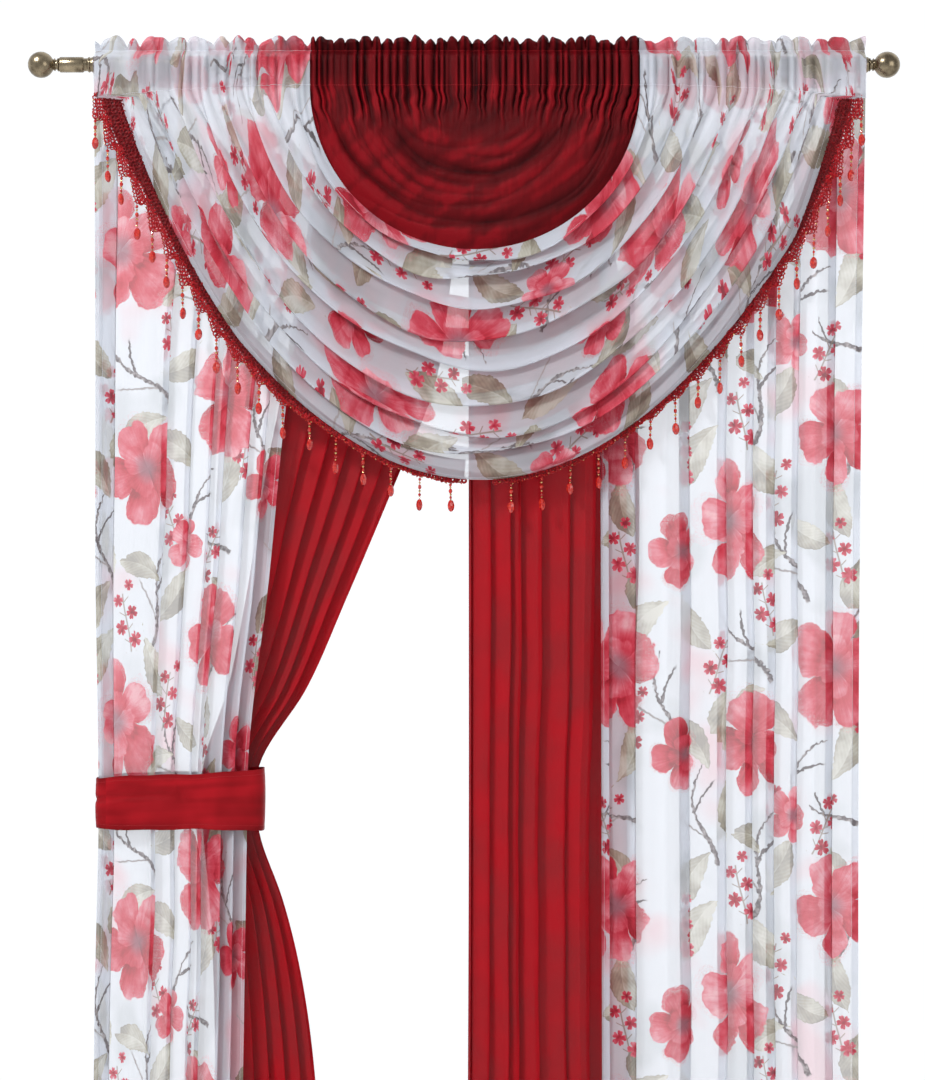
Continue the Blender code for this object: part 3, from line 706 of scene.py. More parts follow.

# Floral panels: the same voile in white, printed with large loose watercolour blossoms, taupe leaves, grey
# twigs and sprays of small red flowers. The print repeats, and its chart is given below.
REPEAT = (640.0, 780.0)
BLOSSOMS = (
    # (across, along, turn, radius, tone)
    (105.0, 125.0, 20.0, 106.0, 0.2),
    (425.0, 270.0, 75.0, 100.0, 0.75),
    (590.0, 520.0, 10.0, 62.0, 0.9),
    (165.0, 545.0, 210.0, 96.0, 0.6),
    (430.0, 665.0, 300.0, 108.0, 0.35),
    (585.0, 75.0, 140.0, 64.0, 0.8),
    (300.0, 420.0, 120.0, 50.0, 0.1),
)
LEAVES = (
    # (across, along, turn, half length, tone)
    (10.0, 235.0, 60.0, 62.0, 0.3),
    (205.0, 215.0, 130.0, 66.0, 0.6),
    (232.0, 60.0, 20.0, 56.0, 0.2),
    (440.0, 150.0, 100.0, 54.0, 0.8),
    (262.0, 330.0, 230.0, 60.0, 0.5),
    (432.0, 325.0, 300.0, 52.0, 0.1),
    (640.0, 315.0, 60.0, 58.0, 0.7),
    (452.0, 528.0, 250.0, 60.0, 0.4),
    (640.0, 540.0, 310.0, 56.0, 0.9),
    (75.0, 425.0, 110.0, 60.0, 0.2),
    (262.0, 575.0, 330.0, 58.0, 0.6),
    (60.0, 585.0, 80.0, 60.0, 0.4),
    (262.0, 715.0, 200.0, 58.0, 0.7),
    (510.0, 735.0, 45.0, 64.0, 0.3),
    (640.0, 735.0, 120.0, 52.0, 0.5),
    (468.0, 20.0, 80.0, 50.0, 0.9),
    (158.0, 612.0, 25.0, 54.0, 0.1),
    (352.0, 108.0, 150.0, 50.0, 0.5),
    (160.0, 380.0, 340.0, 50.0, 0.8),
)
TWIGS = (
    # (across, along, turn, half length, tone)
    (200.0, 335.0, 70.0, 96.0, 0.2),
    (300.0, 70.0, 115.0, 98.0, 0.7),
    (470.0, 250.0, 50.0, 84.0, 0.4),
    (20.0, 420.0, 95.0, 86.0, 0.9),
    (330.0, 480.0, 40.0, 92.0, 0.1),
    (560.0, 600.0, 100.0, 96.0, 0.6),
    (150.0, 700.0, 130.0, 92.0, 0.3),
    (400.0, 430.0, 150.0, 78.0, 0.8),
    (470.0, 700.0, 75.0, 82.0, 0.5),
)
SPRAYS = (
    # (across, along, turn, half length, tone)
    (262.0, 160.0, 80.0, 48.0, 0.1),
    (440.0, 62.0, 100.0, 46.0, 0.5),
    (130.0, 290.0, 100.0, 48.0, 0.8),
    (388.0, 400.0, 60.0, 48.0, 0.3),
    (618.0, 225.0, 90.0, 44.0, 0.6),
    (44.0, 665.0, 70.0, 46.0, 0.9),
    (262.0, 440.0, 110.0, 48.0, 0.4),
    (492.0, 570.0, 80.0, 44.0, 0.2),
    (212.0, 760.0, 100.0, 44.0, 0.7),
)
SPRAY_PITCH = 2.1
SPRAY_SLANT = 0.7
SPRAY_REACH = 0.27
FLORET_RADIUS = 12.6
FLORETS = []
for across, along, turn, half, tone in SPRAYS:
    for k in range(-2, 3):
        out = SPRAY_REACH * (1 if k % 2 else -1)
        up = (k + 0.5) / SPRAY_PITCH + SPRAY_SLANT * SPRAY_REACH * 0.5
        c, s = math.cos(math.radians(turn)), math.sin(math.radians(turn))
        place = (across + half * (up * c - out * s), along + half * (up * s + out * c))
        FLORETS.append((*place, 57.0 * k + 90.0 * tone, FLORET_RADIUS - 1.1 * k, (tone + 0.23 * k) % 1.0))
PRINT_LAYERS = (
    # (kind of motif, chart, reach in its own size)
    ("blossoms", BLOSSOMS, 1.55),
    ("leaves", LEAVES, 1.45),
    ("twigs", TWIGS, 1.4),
    ("sprays", SPRAYS, 1.5),
    ("florets", FLORETS, 2.1),
)
NO_MOTIF = 9.0


def print_from(*offset):
    """A function that lays the print on a mesh, from a place on its chart: for each kind of motif, each
    face's corners get their place on the nearest one, across and along it in its own size, and its tone."""

    def paint(mesh, corners):
        on_chart = corners + offset
        middles = on_chart.mean(axis=1)
        for layer, chart, reach in PRINT_LAYERS:
            nearest = np.full(len(middles), reach)
            places = np.full((*corners.shape[:2], 3), NO_MOTIF)
            for across, along, angle, size, tone in chart:
                step = middles - (across, along)
                tile = np.round(step / REPEAT) * REPEAT
                distance = np.linalg.norm(step - tile, axis=1) / size
                closer = distance < nearest
                nearest[closer] = distance[closer]
                local = (on_chart[closer] - (tile[closer] + (across, along))[:, None, :]) / size
                c, s = math.cos(math.radians(angle)), math.sin(math.radians(angle))
                places[closer, :, 0] = local[..., 0] * c + local[..., 1] * s
                places[closer, :, 1] = local[..., 1] * c - local[..., 0] * s
                places[closer, :, 2] = tone
            attribute = mesh.attributes.new(layer, "FLOAT_VECTOR", "CORNER")
            attribute.data.foreach_set("vector", places.ravel())

    return paint


def smooth_mask(tree, value, low, high):
    """A mask that rises from 0 to 1 as the value goes from low to high."""
    return add(tree, "ShaderNodeMapRange", value, low, high, 0.0, 1.0, interpolation_type="SMOOTHSTEP")


def summed(tree, start, *terms):
    """A value with terms added to it, each a node or a socket and how much of it is added."""
    total = start
    for term, share in terms:
        total = calc(tree, "MULTIPLY_ADD", term, share, total)
    return total


def motif_place(tree, layer):
    """Where a point is on its nearest motif: the vector, and its parts across, along and tone."""
    vector = add(tree, "ShaderNodeAttribute", attribute_name=layer).outputs["Vector"]
    return vector, add(tree, "ShaderNodeSeparateXYZ", vector).outputs


# Printed voile: white polyester with pigment that soaks in unevenly, so the blossoms look washed with water,
# darker where petals meet, and the cloth is a little denser where it is printed.
printed_voile, tree = new_material("printed polyester voile")
flat = add(tree, "ShaderNodeUVMap", uv_map="cloth")
wash = flat_noise(tree, flat, 24.0, 3.0)
fine_wash = flat_noise(tree, flat, 115.0, 1.0)
wobble = calc(tree, "SUBTRACT", fine_wash, 0.5)
washed = calc(tree, "SUBTRACT", wash, 0.5)

# Twigs: a bent stroke of 9 mm that thins to its tip, with two side shoots and lighter bark in places.
spot = motif_place(tree, "twigs")[1]
bend = calc(tree, "MULTIPLY_ADD", spot[0], 2.6, spot[2])
bend = calc(tree, "SINE", bend)
middle = calc(tree, "MULTIPLY_ADD", bend, -0.2, spot[1])
knobbly = calc(tree, "MULTIPLY_ADD", wobble, 0.09, middle)
away = calc(tree, "ABSOLUTE", knobbly)
taper = add(tree, "ShaderNodeMapRange", spot[0], -1.0, 1.0, 0.06, 0.02)
stroke = calc(tree, "SUBTRACT", taper, away)
twig_mask = smooth_mask(tree, stroke, 0.0, 0.012)
for begins, ends, slope in ((-0.45, 0.15, 0.8), (0.05, 0.7, -0.65)):
    from_start = calc(tree, "SUBTRACT", spot[0], begins)
    shoot = calc(tree, "MULTIPLY_ADD", from_start, -slope, knobbly)
    away = calc(tree, "ABSOLUTE", shoot)
    stroke = smooth_mask(tree, away, 0.034, 0.02)
    after = smooth_mask(tree, spot[0], begins - 0.02, begins)
    before = smooth_mask(tree, spot[0], ends, ends - 0.1)
    stroke = calc(tree, "MULTIPLY", stroke, after)
    stroke = calc(tree, "MULTIPLY", stroke, before)
    twig_mask = calc(tree, "MAXIMUM", twig_mask, stroke)
reach = calc(tree, "ABSOLUTE", spot[0])
inside = smooth_mask(tree, reach, 1.0, 0.96)
twig_mask = calc(tree, "MULTIPLY", twig_mask, inside)
bark = summed(tree, 0.5, (wobble, 2.4), (middle, 6.0))
twig_tones = tone_ramp(tree, bark, (0.2, "#6B6264"), (0.55, "#8A8183"), (0.9, "#A9A2A2"))

# Leaves: a pointed oval, one half darker than the other, with a pale midrib and slanting veins.
spot = motif_place(tree, "leaves")[1]
curve = calc(tree, "MULTIPLY", spot[0], spot[0])
side = calc(tree, "MULTIPLY_ADD", curve, 0.22, spot[1])
side_of_rib = calc(tree, "SUBTRACT", side, 0.1)
away = calc(tree, "ABSOLUTE", side_of_rib)
oval = calc(tree, "SUBTRACT", 1.0, curve, use_clamp=True)
full = calc(tree, "MULTIPLY_ADD", spot[0], -0.16, 0.42)
half_width = calc(tree, "MULTIPLY", oval, full)
inward = calc(tree, "SUBTRACT", half_width, away)
inward = calc(tree, "MULTIPLY_ADD", wobble, 0.12, inward)
leaf_mask = smooth_mask(tree, inward, 0.0, 0.025)
darker_half = smooth_mask(tree, side_of_rib, -0.04, 0.02)
rib = smooth_mask(tree, away, 0.035, 0.0)
leaf_rim = smooth_mask(tree, inward, 0.08, 0.0)
veins = calc(tree, "MULTIPLY_ADD", away, 1.6, spot[0])
veins = calc(tree, "MULTIPLY", veins, 34.0)
veins = calc(tree, "SINE", veins)
depth = summed(tree, 0.12, (darker_half, 0.3), (washed, 1.7), (veins, 0.05), (rib, -0.3), (leaf_rim, 0.16))
depth = summed(tree, depth, (spot[2], 0.34), (spot[0], -0.1))
leaf_tones = tone_ramp(tree, depth, (0.0, "#DAD7CB"), (0.3, "#C4BFAF"), (0.6, "#A69E8B"), (0.95, "#857B6B"))

# Sprays: a thin stem with a short stalk to each small flower.
spot = motif_place(tree, "sprays")[1]
bend = calc(tree, "MULTIPLY", spot[0], 2.2)
bend = calc(tree, "SINE", bend)
off_stem = calc(tree, "MULTIPLY_ADD", bend, -0.05, spot[1])
away = calc(tree, "ABSOLUTE", off_stem)
stem = smooth_mask(tree, away, 0.045, 0.018)
stalk_place = calc(tree, "MULTIPLY_ADD", away, -SPRAY_SLANT, spot[0])
stalk_place = calc(tree, "MULTIPLY", stalk_place, SPRAY_PITCH)
stalk_part = calc(tree, "FLOORED_MODULO", stalk_place, 1.0)
stalk_part = calc(tree, "SUBTRACT", stalk_part, 0.5)
stalk_away = calc(tree, "ABSOLUTE", stalk_part)
stalk = smooth_mask(tree, stalk_away, 0.07, 0.03)
near_stem = smooth_mask(tree, away, SPRAY_REACH, SPRAY_REACH - 0.05)
stalk = calc(tree, "MULTIPLY", stalk, near_stem)
spray_mask = calc(tree, "MAXIMUM", stem, stalk)
reach = calc(tree, "ABSOLUTE", spot[0])
inside = smooth_mask(tree, reach, 1.05, 1.0)
spray_mask = calc(tree, "MULTIPLY", spray_mask, inside)


def flower_place(tree, layer):
    """Where a point is on its nearest flower: its parts, its place in the flower's plane, and how far out."""
    vector, spot = motif_place(tree, layer)
    plane = vector_calc(tree, "MULTIPLY", vector, (1.0, 1.0, 0.0))
    return spot, plane, vector_calc(tree, "LENGTH", plane).outputs["Value"]


def petal_parts(tree, spot, turned, petals):
    """Which petal a point is on, how far across it from 0 to 1, and how far from its middle from 0 to 1."""
    angle = calc(tree, "ARCTAN2", spot[1], spot[0])
    at = calc(tree, "MULTIPLY_ADD", angle, petals / (2 * math.pi), turned)
    at = calc(tree, "FLOORED_MODULO", at, petals)
    across = calc(tree, "FRACT", at)
    which = calc(tree, "SUBTRACT", at, across)
    from_middle = calc(tree, "SUBTRACT", across, 0.5)
    from_middle = calc(tree, "ABSOLUTE", from_middle)
    return which, across, calc(tree, "MULTIPLY", from_middle, 2.0)


# Small flowers: five round petals with a notch in each, deeper red at the middle.
spot, plane, distance = flower_place(tree, "florets")
from_middle = petal_parts(tree, spot, spot[2], 5)[2]
rounded = calc(tree, "POWER", from_middle, 3.6)
notch = smooth_mask(tree, from_middle, 0.3, 0.0)
edge = summed(tree, 1.0, (rounded, -0.62), (notch, -0.1), (wobble, 0.3))
inward = calc(tree, "SUBTRACT", edge, distance)
floret_mask = smooth_mask(tree, inward, 0.0, 0.08)
floret_depth = summed(tree, 0.75, (distance, -0.6), (wobble, 0.9), (spot[2], 0.25))
floret_tones = tone_ramp(
    tree, floret_depth, (0.1, "#E48695"), (0.4, "#D04C60"), (0.7, "#BC2A40"), (0.95, "#8A1A2C")
)

# Blossoms: five broad petals, each lapping over the next, round five smaller ones, washed from pale to deep,
# with faint veins, a thin darker rim where the pigment settled, and a grey violet heart.
spot, plane, distance = flower_place(tree, "blossoms")
ragged = summed(tree, distance, (wobble, 0.035), (washed, 0.2))
outward = vector_calc(tree, "NORMALIZE", plane)
vein_place = vector_calc(tree, "MULTIPLY", outward, (11.0, 11.0, 11.0))
vein_place = vector_calc(tree, "ADD", vein_place, plane)
vein_noise = flat_noise(tree, vein_place, 1.3, 1.0)
veins = calc(tree, "SUBTRACT", vein_noise, 0.5)
bowed = summed(tree, spot[2], (distance, 0.16), (washed, 0.3))
rings = []
for shift, reach, lobes, dent in ((0.0, 1.0, 5, 0.42), (0.45, 0.52, 4, 0.2)):
    turned_here = calc(tree, "ADD", bowed, shift)
    which, across, from_middle = petal_parts(tree, spot, turned_here, lobes)
    lot = calc(tree, "MULTIPLY_ADD", spot[2], 31.0, which)
    chance = add(tree, "ShaderNodeTexWhiteNoise", noise_dimensions="1D")
    wire(tree, chance, W=lot.outputs[0])
    chance = calc(tree, "SUBTRACT", chance.outputs["Value"], 0.5)
    rounded = calc(tree, "POWER", from_middle, 3.2)
    notch = smooth_mask(tree, from_middle, 0.3, 0.0)
    edge = summed(tree, reach, (rounded, -dent), (notch, -0.04 * reach), (chance, 0.24 * reach))
    inward = calc(tree, "SUBTRACT", edge, ragged)
    mask = smooth_mask(tree, inward, 0.0, 0.03)
    rim = smooth_mask(tree, inward, 0.05, 0.0)
    lapped = smooth_mask(tree, across, 0.45, 0.0)
    folded = smooth_mask(tree, across, 0.92, 1.0)
    ring_shade = summed(tree, 0.0, (chance, 0.36), (rim, 0.08), (lapped, 0.24), (folded, -0.14))
    rings.append((mask, ring_shade, inward))
(blossom_mask, outer_shade, _), (inner_mask, inner_shade, inside_inner) = rings
under_inner = smooth_mask(tree, inside_inner, -0.17, 0.0)
outer_shade = calc(tree, "MULTIPLY_ADD", under_inner, 0.2, outer_shade)
petal_shade = add(tree, "ShaderNodeMix", inner_mask, None, outer_shade, inner_shade)
tint = summed(tree, 0.38, (petal_shade, 1.0), (washed, 1.2), (veins, 0.25), (distance, -0.2), (spot[2], 0.3))
petal_tones = tone_ramp(
    tree, tint, (0.0, "#F2B4BD"), (0.25, "#E67D8C"), (0.5, "#D94A5D"), (0.75, "#CB2C41"), (1.0, "#A4172B")
)
heart = smooth_mask(tree, ragged, 0.34, 0.04)
heart = calc(tree, "MULTIPLY", heart, 0.7)
heart = calc(tree, "MULTIPLY", heart, blossom_mask)

# Soft clouds: the ground has pale pink and grey washes in places, as if it were still wet.
cloud = flat_noise(tree, flat, 5.5, 2.0)
pink_cloud = smooth_mask(tree, cloud, 0.58, 0.76)
grey_cloud = smooth_mask(tree, cloud, 0.44, 0.3)
print_colour = add(tree, "ShaderNodeMixRGB", pink_cloud, linear("#E3E7F0"), linear("#EBC7D1"))
print_colour = add(tree, "ShaderNodeMixRGB", grey_cloud, print_colour, linear("#CDD2DA"))

# The layers, from the twigs up to the blossoms, on the white ground.
for mask, colour, strength in (
    (twig_mask, twig_tones, 0.95),
    (leaf_mask, leaf_tones, 0.95),
    (spray_mask, linear("#9C8A80"), 0.9),
    (floret_mask, floret_tones, 1.0),
    (blossom_mask, petal_tones, 1.0),
):
    amount = calc(tree, "MULTIPLY", mask, strength)
    print_colour = add(tree, "ShaderNodeMixRGB", amount, print_colour, colour)
print_colour = add(tree, "ShaderNodeMixRGB", heart, print_colour, linear("#84707C"))
cover = 0.6
for mask, printed_cover in (
    (leaf_mask, 0.66),
    (spray_mask, 0.75),
    (twig_mask, 0.88),
    (floret_mask, 0.88),
    (blossom_mask, 0.84),
):
    cover = add(tree, "ShaderNodeMix", mask, None, cover, printed_cover)
white_gloss = {"Roughness": 0.55, "Specular IOR Level": 0.3, "Sheen Weight": 0.15, "Sheen Roughness": 0.4}
sheer_cloth(tree, print_colour, cover, wash, 0.25, 0.05, white_gloss)

FLORAL_LEFT_EDGES = (
    # (height, left, right, behind, depth)
    (POCKET_SEAM, -610.0, -219.8, 0.0, 0.0),
    (-180.0, -608.4, -236.2, 0.0, 1.0),
    (-537.0, -606.8, -290.3, 0.0, 1.0),
    (-849.0, -606.8, -321.4, 0.0, 1.1),
    (-1160.0, -601.9, -355.9, 0.0, 1.25),
    (-1262.0, -601.9, -357.5, 0.0, 1.25),
    (-1472.0, -606.8, -360.8, 0.0, 1.1),
    (HEM, -613.4, -370.6, 0.0, 1.1),
)
FLORAL_LEFT_FOLDS = (
    # (share, forward)
    (0.0, 3.0),
    (0.10, -4.0),
    (0.24, -5.0),
    (0.33, -3.0),
    (0.385, 8.0),
    (0.445, -6.0),
    (0.515, 3.0),
    (0.57, -6.0),
    (0.63, 9.0),
    (0.665, -4.0),
    (0.70, 8.0),
    (0.76, -8.0),
    (0.83, 9.0),
    (0.87, -7.0),
    (0.915, 8.0),
    (0.955, -7.0),
    (1.0, 3.0),
)
FLORAL_RIGHT_EDGES = (
    # (height, left, right, behind, depth)
    (POCKET_SEAM, 234.5, 662.0, 0.0, 0.0),
    (-180.0, 234.5, 659.3, 0.0, 1.0),
    (-700.0, 237.8, 652.7, 0.0, 1.0),
    (-1300.0, 239.4, 649.4, 0.0, 1.0),
    (HEM, 241.1, 651.1, 0.0, 1.1),
)
FLORAL_RIGHT_FOLDS = (
    # (share, forward)
    (0.0, 4.0),
    (0.051, -6.0),
    (0.106, 9.0),
    (0.161, -7.0),
    (0.228, 8.0),
    (0.327, -4.0),
    (0.398, -7.0),
    (0.469, 9.0),
    (0.524, -8.0),
    (0.575, 8.0),
    (0.618, -7.0),
    (0.661, 8.0),
    (0.709, -8.0),
    (0.752, 8.0),
    (0.787, -6.0),
    (0.819, 7.0),
    (0.898, -4.0),
    (0.949, -6.0),
    (1.0, 3.0),
)
FLORAL_TUCK = 0.6
for name, edges, folds, seed, paint in (
    ("floral_panel_left", FLORAL_LEFT_EDGES, FLORAL_LEFT_FOLDS, 2.2, print_from(0.0, 520.0)),
    ("floral_panel_right", FLORAL_RIGHT_EDGES, FLORAL_RIGHT_FOLDS, 3.7, print_from(380.0, 180.0)),
):
    hang_panel(name, edges, folds, seed, FLORAL_TUCK, "printed_voile", printed_voile, paint)

# Tie band: a strip of the red voile sewn double into a loop, pressed, with a row of stitches along each edge.
# It holds the left pair, and the folds under it press it out a little.
BAND_LEFT = -606.0
BAND_RIGHT = -331.0
BAND_TOP_LEFT = -1174.0
BAND_TOP_RIGHT = -1161.0
BAND_FOOT_LEFT = -1258.0
BAND_FOOT_RIGHT = -1260.0
BAND_FRONT = -13.95
BAND_BACK = 40.6
BAND_CORNER = 18.0
BAND_HALF = 1.1
BAND_SIDES = 240
BAND_LEVELS = 36
BAND_TALL = 90.0
# The band has a groove along each row of stitches, a long crease and a short tuck. Their levels, and how far
# each reaches up and down, are shares of the band's height.
STITCH_LEVELS = (0.08, 0.92)
STITCH_GROOVE = 0.35
GROOVE_WIDTH = 0.02
CREASE_DEPTH = 2.2
CREASE_LEVEL = 0.6
CREASE_WIDTH = 0.06
CREASE_END = -462.0
CREASE_FADE = 30.0
TUCK_DEPTH = 2.8
TUCK_PLACE = -464.0
TUCK_LEVEL = 0.66
TUCK_SLANT = 18.0
TUCK_WIDE = 5.0
TUCK_TALL = 0.14

# Doubled red voile: two layers, so it is opaque, and pressed flat, painted darker in long thin stripes as
# painted shade in its creases. Its rolled top, its foot and its right end turn away from the light, and are
# painted darker as painted shade.
doubled_voile, tree = new_material("doubled red voile")
flat = add(tree, "ShaderNodeUVMap", uv_map="cloth")
dye = flat_noise(tree, flat, 14.0, 2.0)
reds = tone_ramp(tree, dye, (0.3, "#990E18"), (0.7, "#AF1520"))
threads = thread_relief(tree, flat, dye)
on_band = add(tree, "ShaderNodeSeparateXYZ", flat).outputs
# Painted shade at the rolled top, the foot and the turned right end.
rolled_top_painted_shade = add(tree, "ShaderNodeMapRange", on_band[1], 0.080, 0.090, 1.0, 0.62)
rolled_foot_painted_shade = add(tree, "ShaderNodeMapRange", on_band[1], 0.0, 0.006, 0.75, 1.0)
turned_end_painted_shade = add(tree, "ShaderNodeMapRange", on_band[0], 0.176, 0.186, 1.0, 0.9)
shade = calc(tree, "MULTIPLY", rolled_top_painted_shade, rolled_foot_painted_shade)
shade = calc(tree, "MULTIPLY", shade, turned_end_painted_shade)
# Painted shade in long thin stripes along the band, for its pressed creases.
streak_place = vector_calc(tree, "MULTIPLY", flat, (7.0, 60.0, 0.0))
crease_painted_shade = flat_noise(tree, streak_place, 1.0, 1.0)
crease_painted_shade = add(tree, "ShaderNodeMapRange", crease_painted_shade, 0.35, 0.65, 0.8, 1.06)
shade = calc(tree, "MULTIPLY", shade, crease_painted_shade)
reds = vector_calc(tree, "SCALE", reds, None, None, shade)
face = add(tree, "ShaderNodeBsdfPrincipled", reds)
set_inputs(face, red_gloss)
with_bump(tree, face, 0.3, 0.0003, threads)
add(tree, "ShaderNodeOutputMaterial", face)


def band_outline(place):
    """The loop seen from above, a rectangle with round corners, by the distance walked round it."""
    wide = BAND_RIGHT - BAND_LEFT - 2 * BAND_CORNER
    deep = BAND_BACK - BAND_FRONT - 2 * BAND_CORNER
    arc = math.pi / 2 * BAND_CORNER
    round_all = 2 * wide + 2 * deep + 4 * arc
    left = place * round_all
    corners = (
        (BAND_LEFT + BAND_CORNER, BAND_FRONT, 0, wide),
        (BAND_RIGHT, BAND_FRONT + BAND_CORNER, 90, deep),
        (BAND_RIGHT - BAND_CORNER, BAND_BACK, 180, wide),
        (BAND_LEFT, BAND_BACK - BAND_CORNER, 270, deep),
    )
    for x, y, heading, straight in corners:
        along = (math.cos(math.radians(heading)), math.sin(math.radians(heading)))
        out = (along[1], -along[0])
        if left <= straight:
            return x + along[0] * left, y + along[1] * left, out, round_all
        left -= straight
        if left <= arc:
            turn = math.radians(heading) + left / BAND_CORNER
            centre_x = x + along[0] * straight - out[0] * BAND_CORNER
            centre_y = y + along[1] * straight - out[1] * BAND_CORNER
            out = (math.sin(turn), -math.cos(turn))
            return centre_x + out[0] * BAND_CORNER, centre_y + out[1] * BAND_CORNER, out, round_all
        left -= arc
    return BAND_LEFT + BAND_CORNER, BAND_FRONT, (0.0, -1.0), round_all


layers = []
for half in (BAND_HALF, -BAND_HALF):
    rows = []
    for level in range(BAND_LEVELS + 1):
        up = level / BAND_LEVELS
        row = []
        for k in range(BAND_SIDES + 1):
            x, y, out, round_all = band_outline(k / BAND_SIDES)
            share = (x - BAND_LEFT) / (BAND_RIGHT - BAND_LEFT)
            high = BAND_TOP_LEFT + (BAND_TOP_RIGHT - BAND_TOP_LEFT) * share
            low = BAND_FOOT_LEFT + (BAND_FOOT_RIGHT - BAND_FOOT_LEFT) * share
            edge = 1.2 * math.sin(x / 31.0) + 0.7 * math.sin(x / 13.0 + 1.0)
            press = 0.9 * math.sin(math.pi * up) * (1 + math.sin(x / 17.0 + 2.0 * up) * 0.6)
            near_foot, near_top = (
                math.exp(-(((up - stitch_level) / GROOVE_WIDTH) ** 2)) for stitch_level in STITCH_LEVELS
            )
            stitch = STITCH_GROOVE * (near_foot + near_top)
            seam = half * (0.35 + 0.65 * math.sin(math.pi * min(max(up, 0.02), 0.98)) ** 0.3)
            off_crease = up - CREASE_LEVEL - 0.03 * math.sin(x / 30.0)
            crease = CREASE_DEPTH * math.exp(-((off_crease / CREASE_WIDTH) ** 2))
            crease *= ease((CREASE_END - x) / CREASE_FADE)
            off_tuck = x - TUCK_PLACE + TUCK_SLANT * (up - TUCK_LEVEL)
            tall = (up - TUCK_LEVEL) / TUCK_TALL
            tuck = TUCK_DEPTH * math.exp(-((off_tuck / TUCK_WIDE) ** 2) - tall**2)
            rise = press + seam - (stitch if half > 0 else -stitch) - crease - tuck
            height = low + (high - low) * up + edge * (2 * up - 1)
            row.append((x + out[0] * rise, y + out[1] * rise, height))
        rows.append(row)
    layers.append(np.array(rows))
around = np.broadcast_to(np.linspace(0.0, round_all, BAND_SIDES + 1), layers[0].shape[:2])
upward = np.broadcast_to(np.linspace(0.0, BAND_TALL, BAND_LEVELS + 1)[:, None], layers[0].shape[:2])
flat = np.stack([around, upward], axis=2)
outer, inner = layers
top_rim = np.stack([outer[-1], inner[-1]])
foot_rim = np.stack([inner[0], outer[0]])
rim_flat = np.stack([flat[0], flat[0]])
band_patches = [(outer[::-1], flat), (inner, flat), (top_rim[::-1], rim_flat), (foot_rim[::-1], rim_flat)]
band = cloth_piece("tie_band_voile", band_patches, doubled_voile)
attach(band, "root")
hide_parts("tie_band")
sewn = [outer[level] + (outer[level] - inner[level]) * 0.15 for level in (3, -4)]
stitches = stitched("band_stitches", sewn, "red_voile", (0.0, 0.0, 0.0))

# Valance: one piece of the printed voile. Its gathered heading goes over the pockets of the panels, and from
# there it swags in deep folds from one end of the rod to the other, each fold rolling over the one below.
HEADING_WALL = 22.3
HEADING_WAVE = 5.0
HEADING_BACK = -34.0
VALANCE_SEAM = -37.0
CORNER_DROP = 21.0
CORNER_INSET = 44.0
CORNER_STEP = 3.0
LEFT_INSET_END = 0.78
RIGHT_INSET_END = 0.58
INNER_ROUNDNESS = 0.5
OUTER_ROUNDNESS = 0.93
WAVE_AT_MIDDLE = 13.0
BELLY_INNER = 6.0
BELLY_OUTER = 18.0
SWAG_STEPS = 170
FOLD_STEPS = 10
GATHER_PITCH = 16.0
RUFFLE_PITCH = 32.0
RUFFLE_PUFF = 11.0
RUFFLE_OPENING = 1.6
# The ruffle puffs up more near its left end, and its top edge is uneven.
RUFFLE_FROM = 22.0
RUFFLE_GROWTH = 18.0
LEFT_PUFF = 6.0
LEFT_PUFF_FROM = -470.0
TOP_WAVE = 3.0
TOP_WAVE_PITCH = 71.0
RUFFLE_SWAY = 1.8
RUFFLE_SWAY_PITCH = 57.0
FLAT_PITCH = 46.0
GATHER_DEPTH = 8.0
VALANCE_LEFT = -606.0
VALANCE_RIGHT = 660.0
# How far from its ends the valance is flatter, and how much of their depth its gathers keep there and by the
# scoop.
FLAT_LEFT = 130.0
FLAT_RIGHT = 120.0
KEPT_AT_ENDS = 0.25
KEPT_BY_SCOOP = 0.35
SCOOP_MIDDLE = 18.0
DRIFT = 10.0
DRIFT_PITCH = 290.0
FADE_LENGTH = 190.0
FADE_UNEVENNESS = 90.0
FINE_CREASE = 1.7
FINE_CREASE_PITCH = 61.0
INNER_HEM = 22.0
OUTER_HEM = 14.0
VALANCE_FOLDS = (
    # (left, right, lowest, forward)
    (-252.6, 288.6, -307.5, 0.2),
    (-272.2, 309.2, -327.2, 0.9),
    (-291.9, 329.8, -340.3, -0.7),
    (-311.6, 350.4, -356.7, 1.0),
    (-331.3, 371.0, -378.0, -0.8),
    (-351.0, 391.6, -404.3, 0.9),
    (-370.6, 412.2, -428.9, -0.7),
    (-390.3, 432.8, -458.4, 1.0),
    (-410.0, 453.4, -476.4, -0.8),
    (-429.7, 474.0, -502.7, 0.8),
    (-449.4, 494.6, -532.2, -0.8),
    (-469.0, 515.2, -566.6, 1.0),
    (-488.7, 535.8, -591.2, -0.8),
    (-508.4, 556.4, -614.2, 0.9),
    (-528.1, 577.0, -628.9, -0.7),
    (-547.8, 597.6, -645.3, 1.0),
    (-567.4, 618.2, -658.5, -0.7),
    (-587.1, 638.8, -674.9, 0.8),
    (-606.8, 659.4, -684.7, -1.0),
)
# The heading in section: how far it stands from the rod's plane, how high, how much it gathers, and how much
# the ruffle's loops open.
HEADING_SECTION = (
    # (out, height, gather, ruffle)
    (1.0, HEADING_BACK, 1.0, 0.0),
    (1.0, -10.0, 1.0, 0.0),
    (0.98, 5.0, 1.0, 0.0),
    (0.78, 13.0, 0.8, 0.0),
    (0.32, 19.0, 0.5, 0.1),
    (0.12, 22.5, 0.4, 0.25),
    (0.26, 28.0, 0.4, 0.6),
    (0.38, 34.0, 0.3, 0.9),
    (0.27, 39.5, 0.2, 1.0),
    (0.0, 42.0, 0.1, 1.0),
)
HEADING_FINE = 4
RUFFLE_FOOT = 22.5


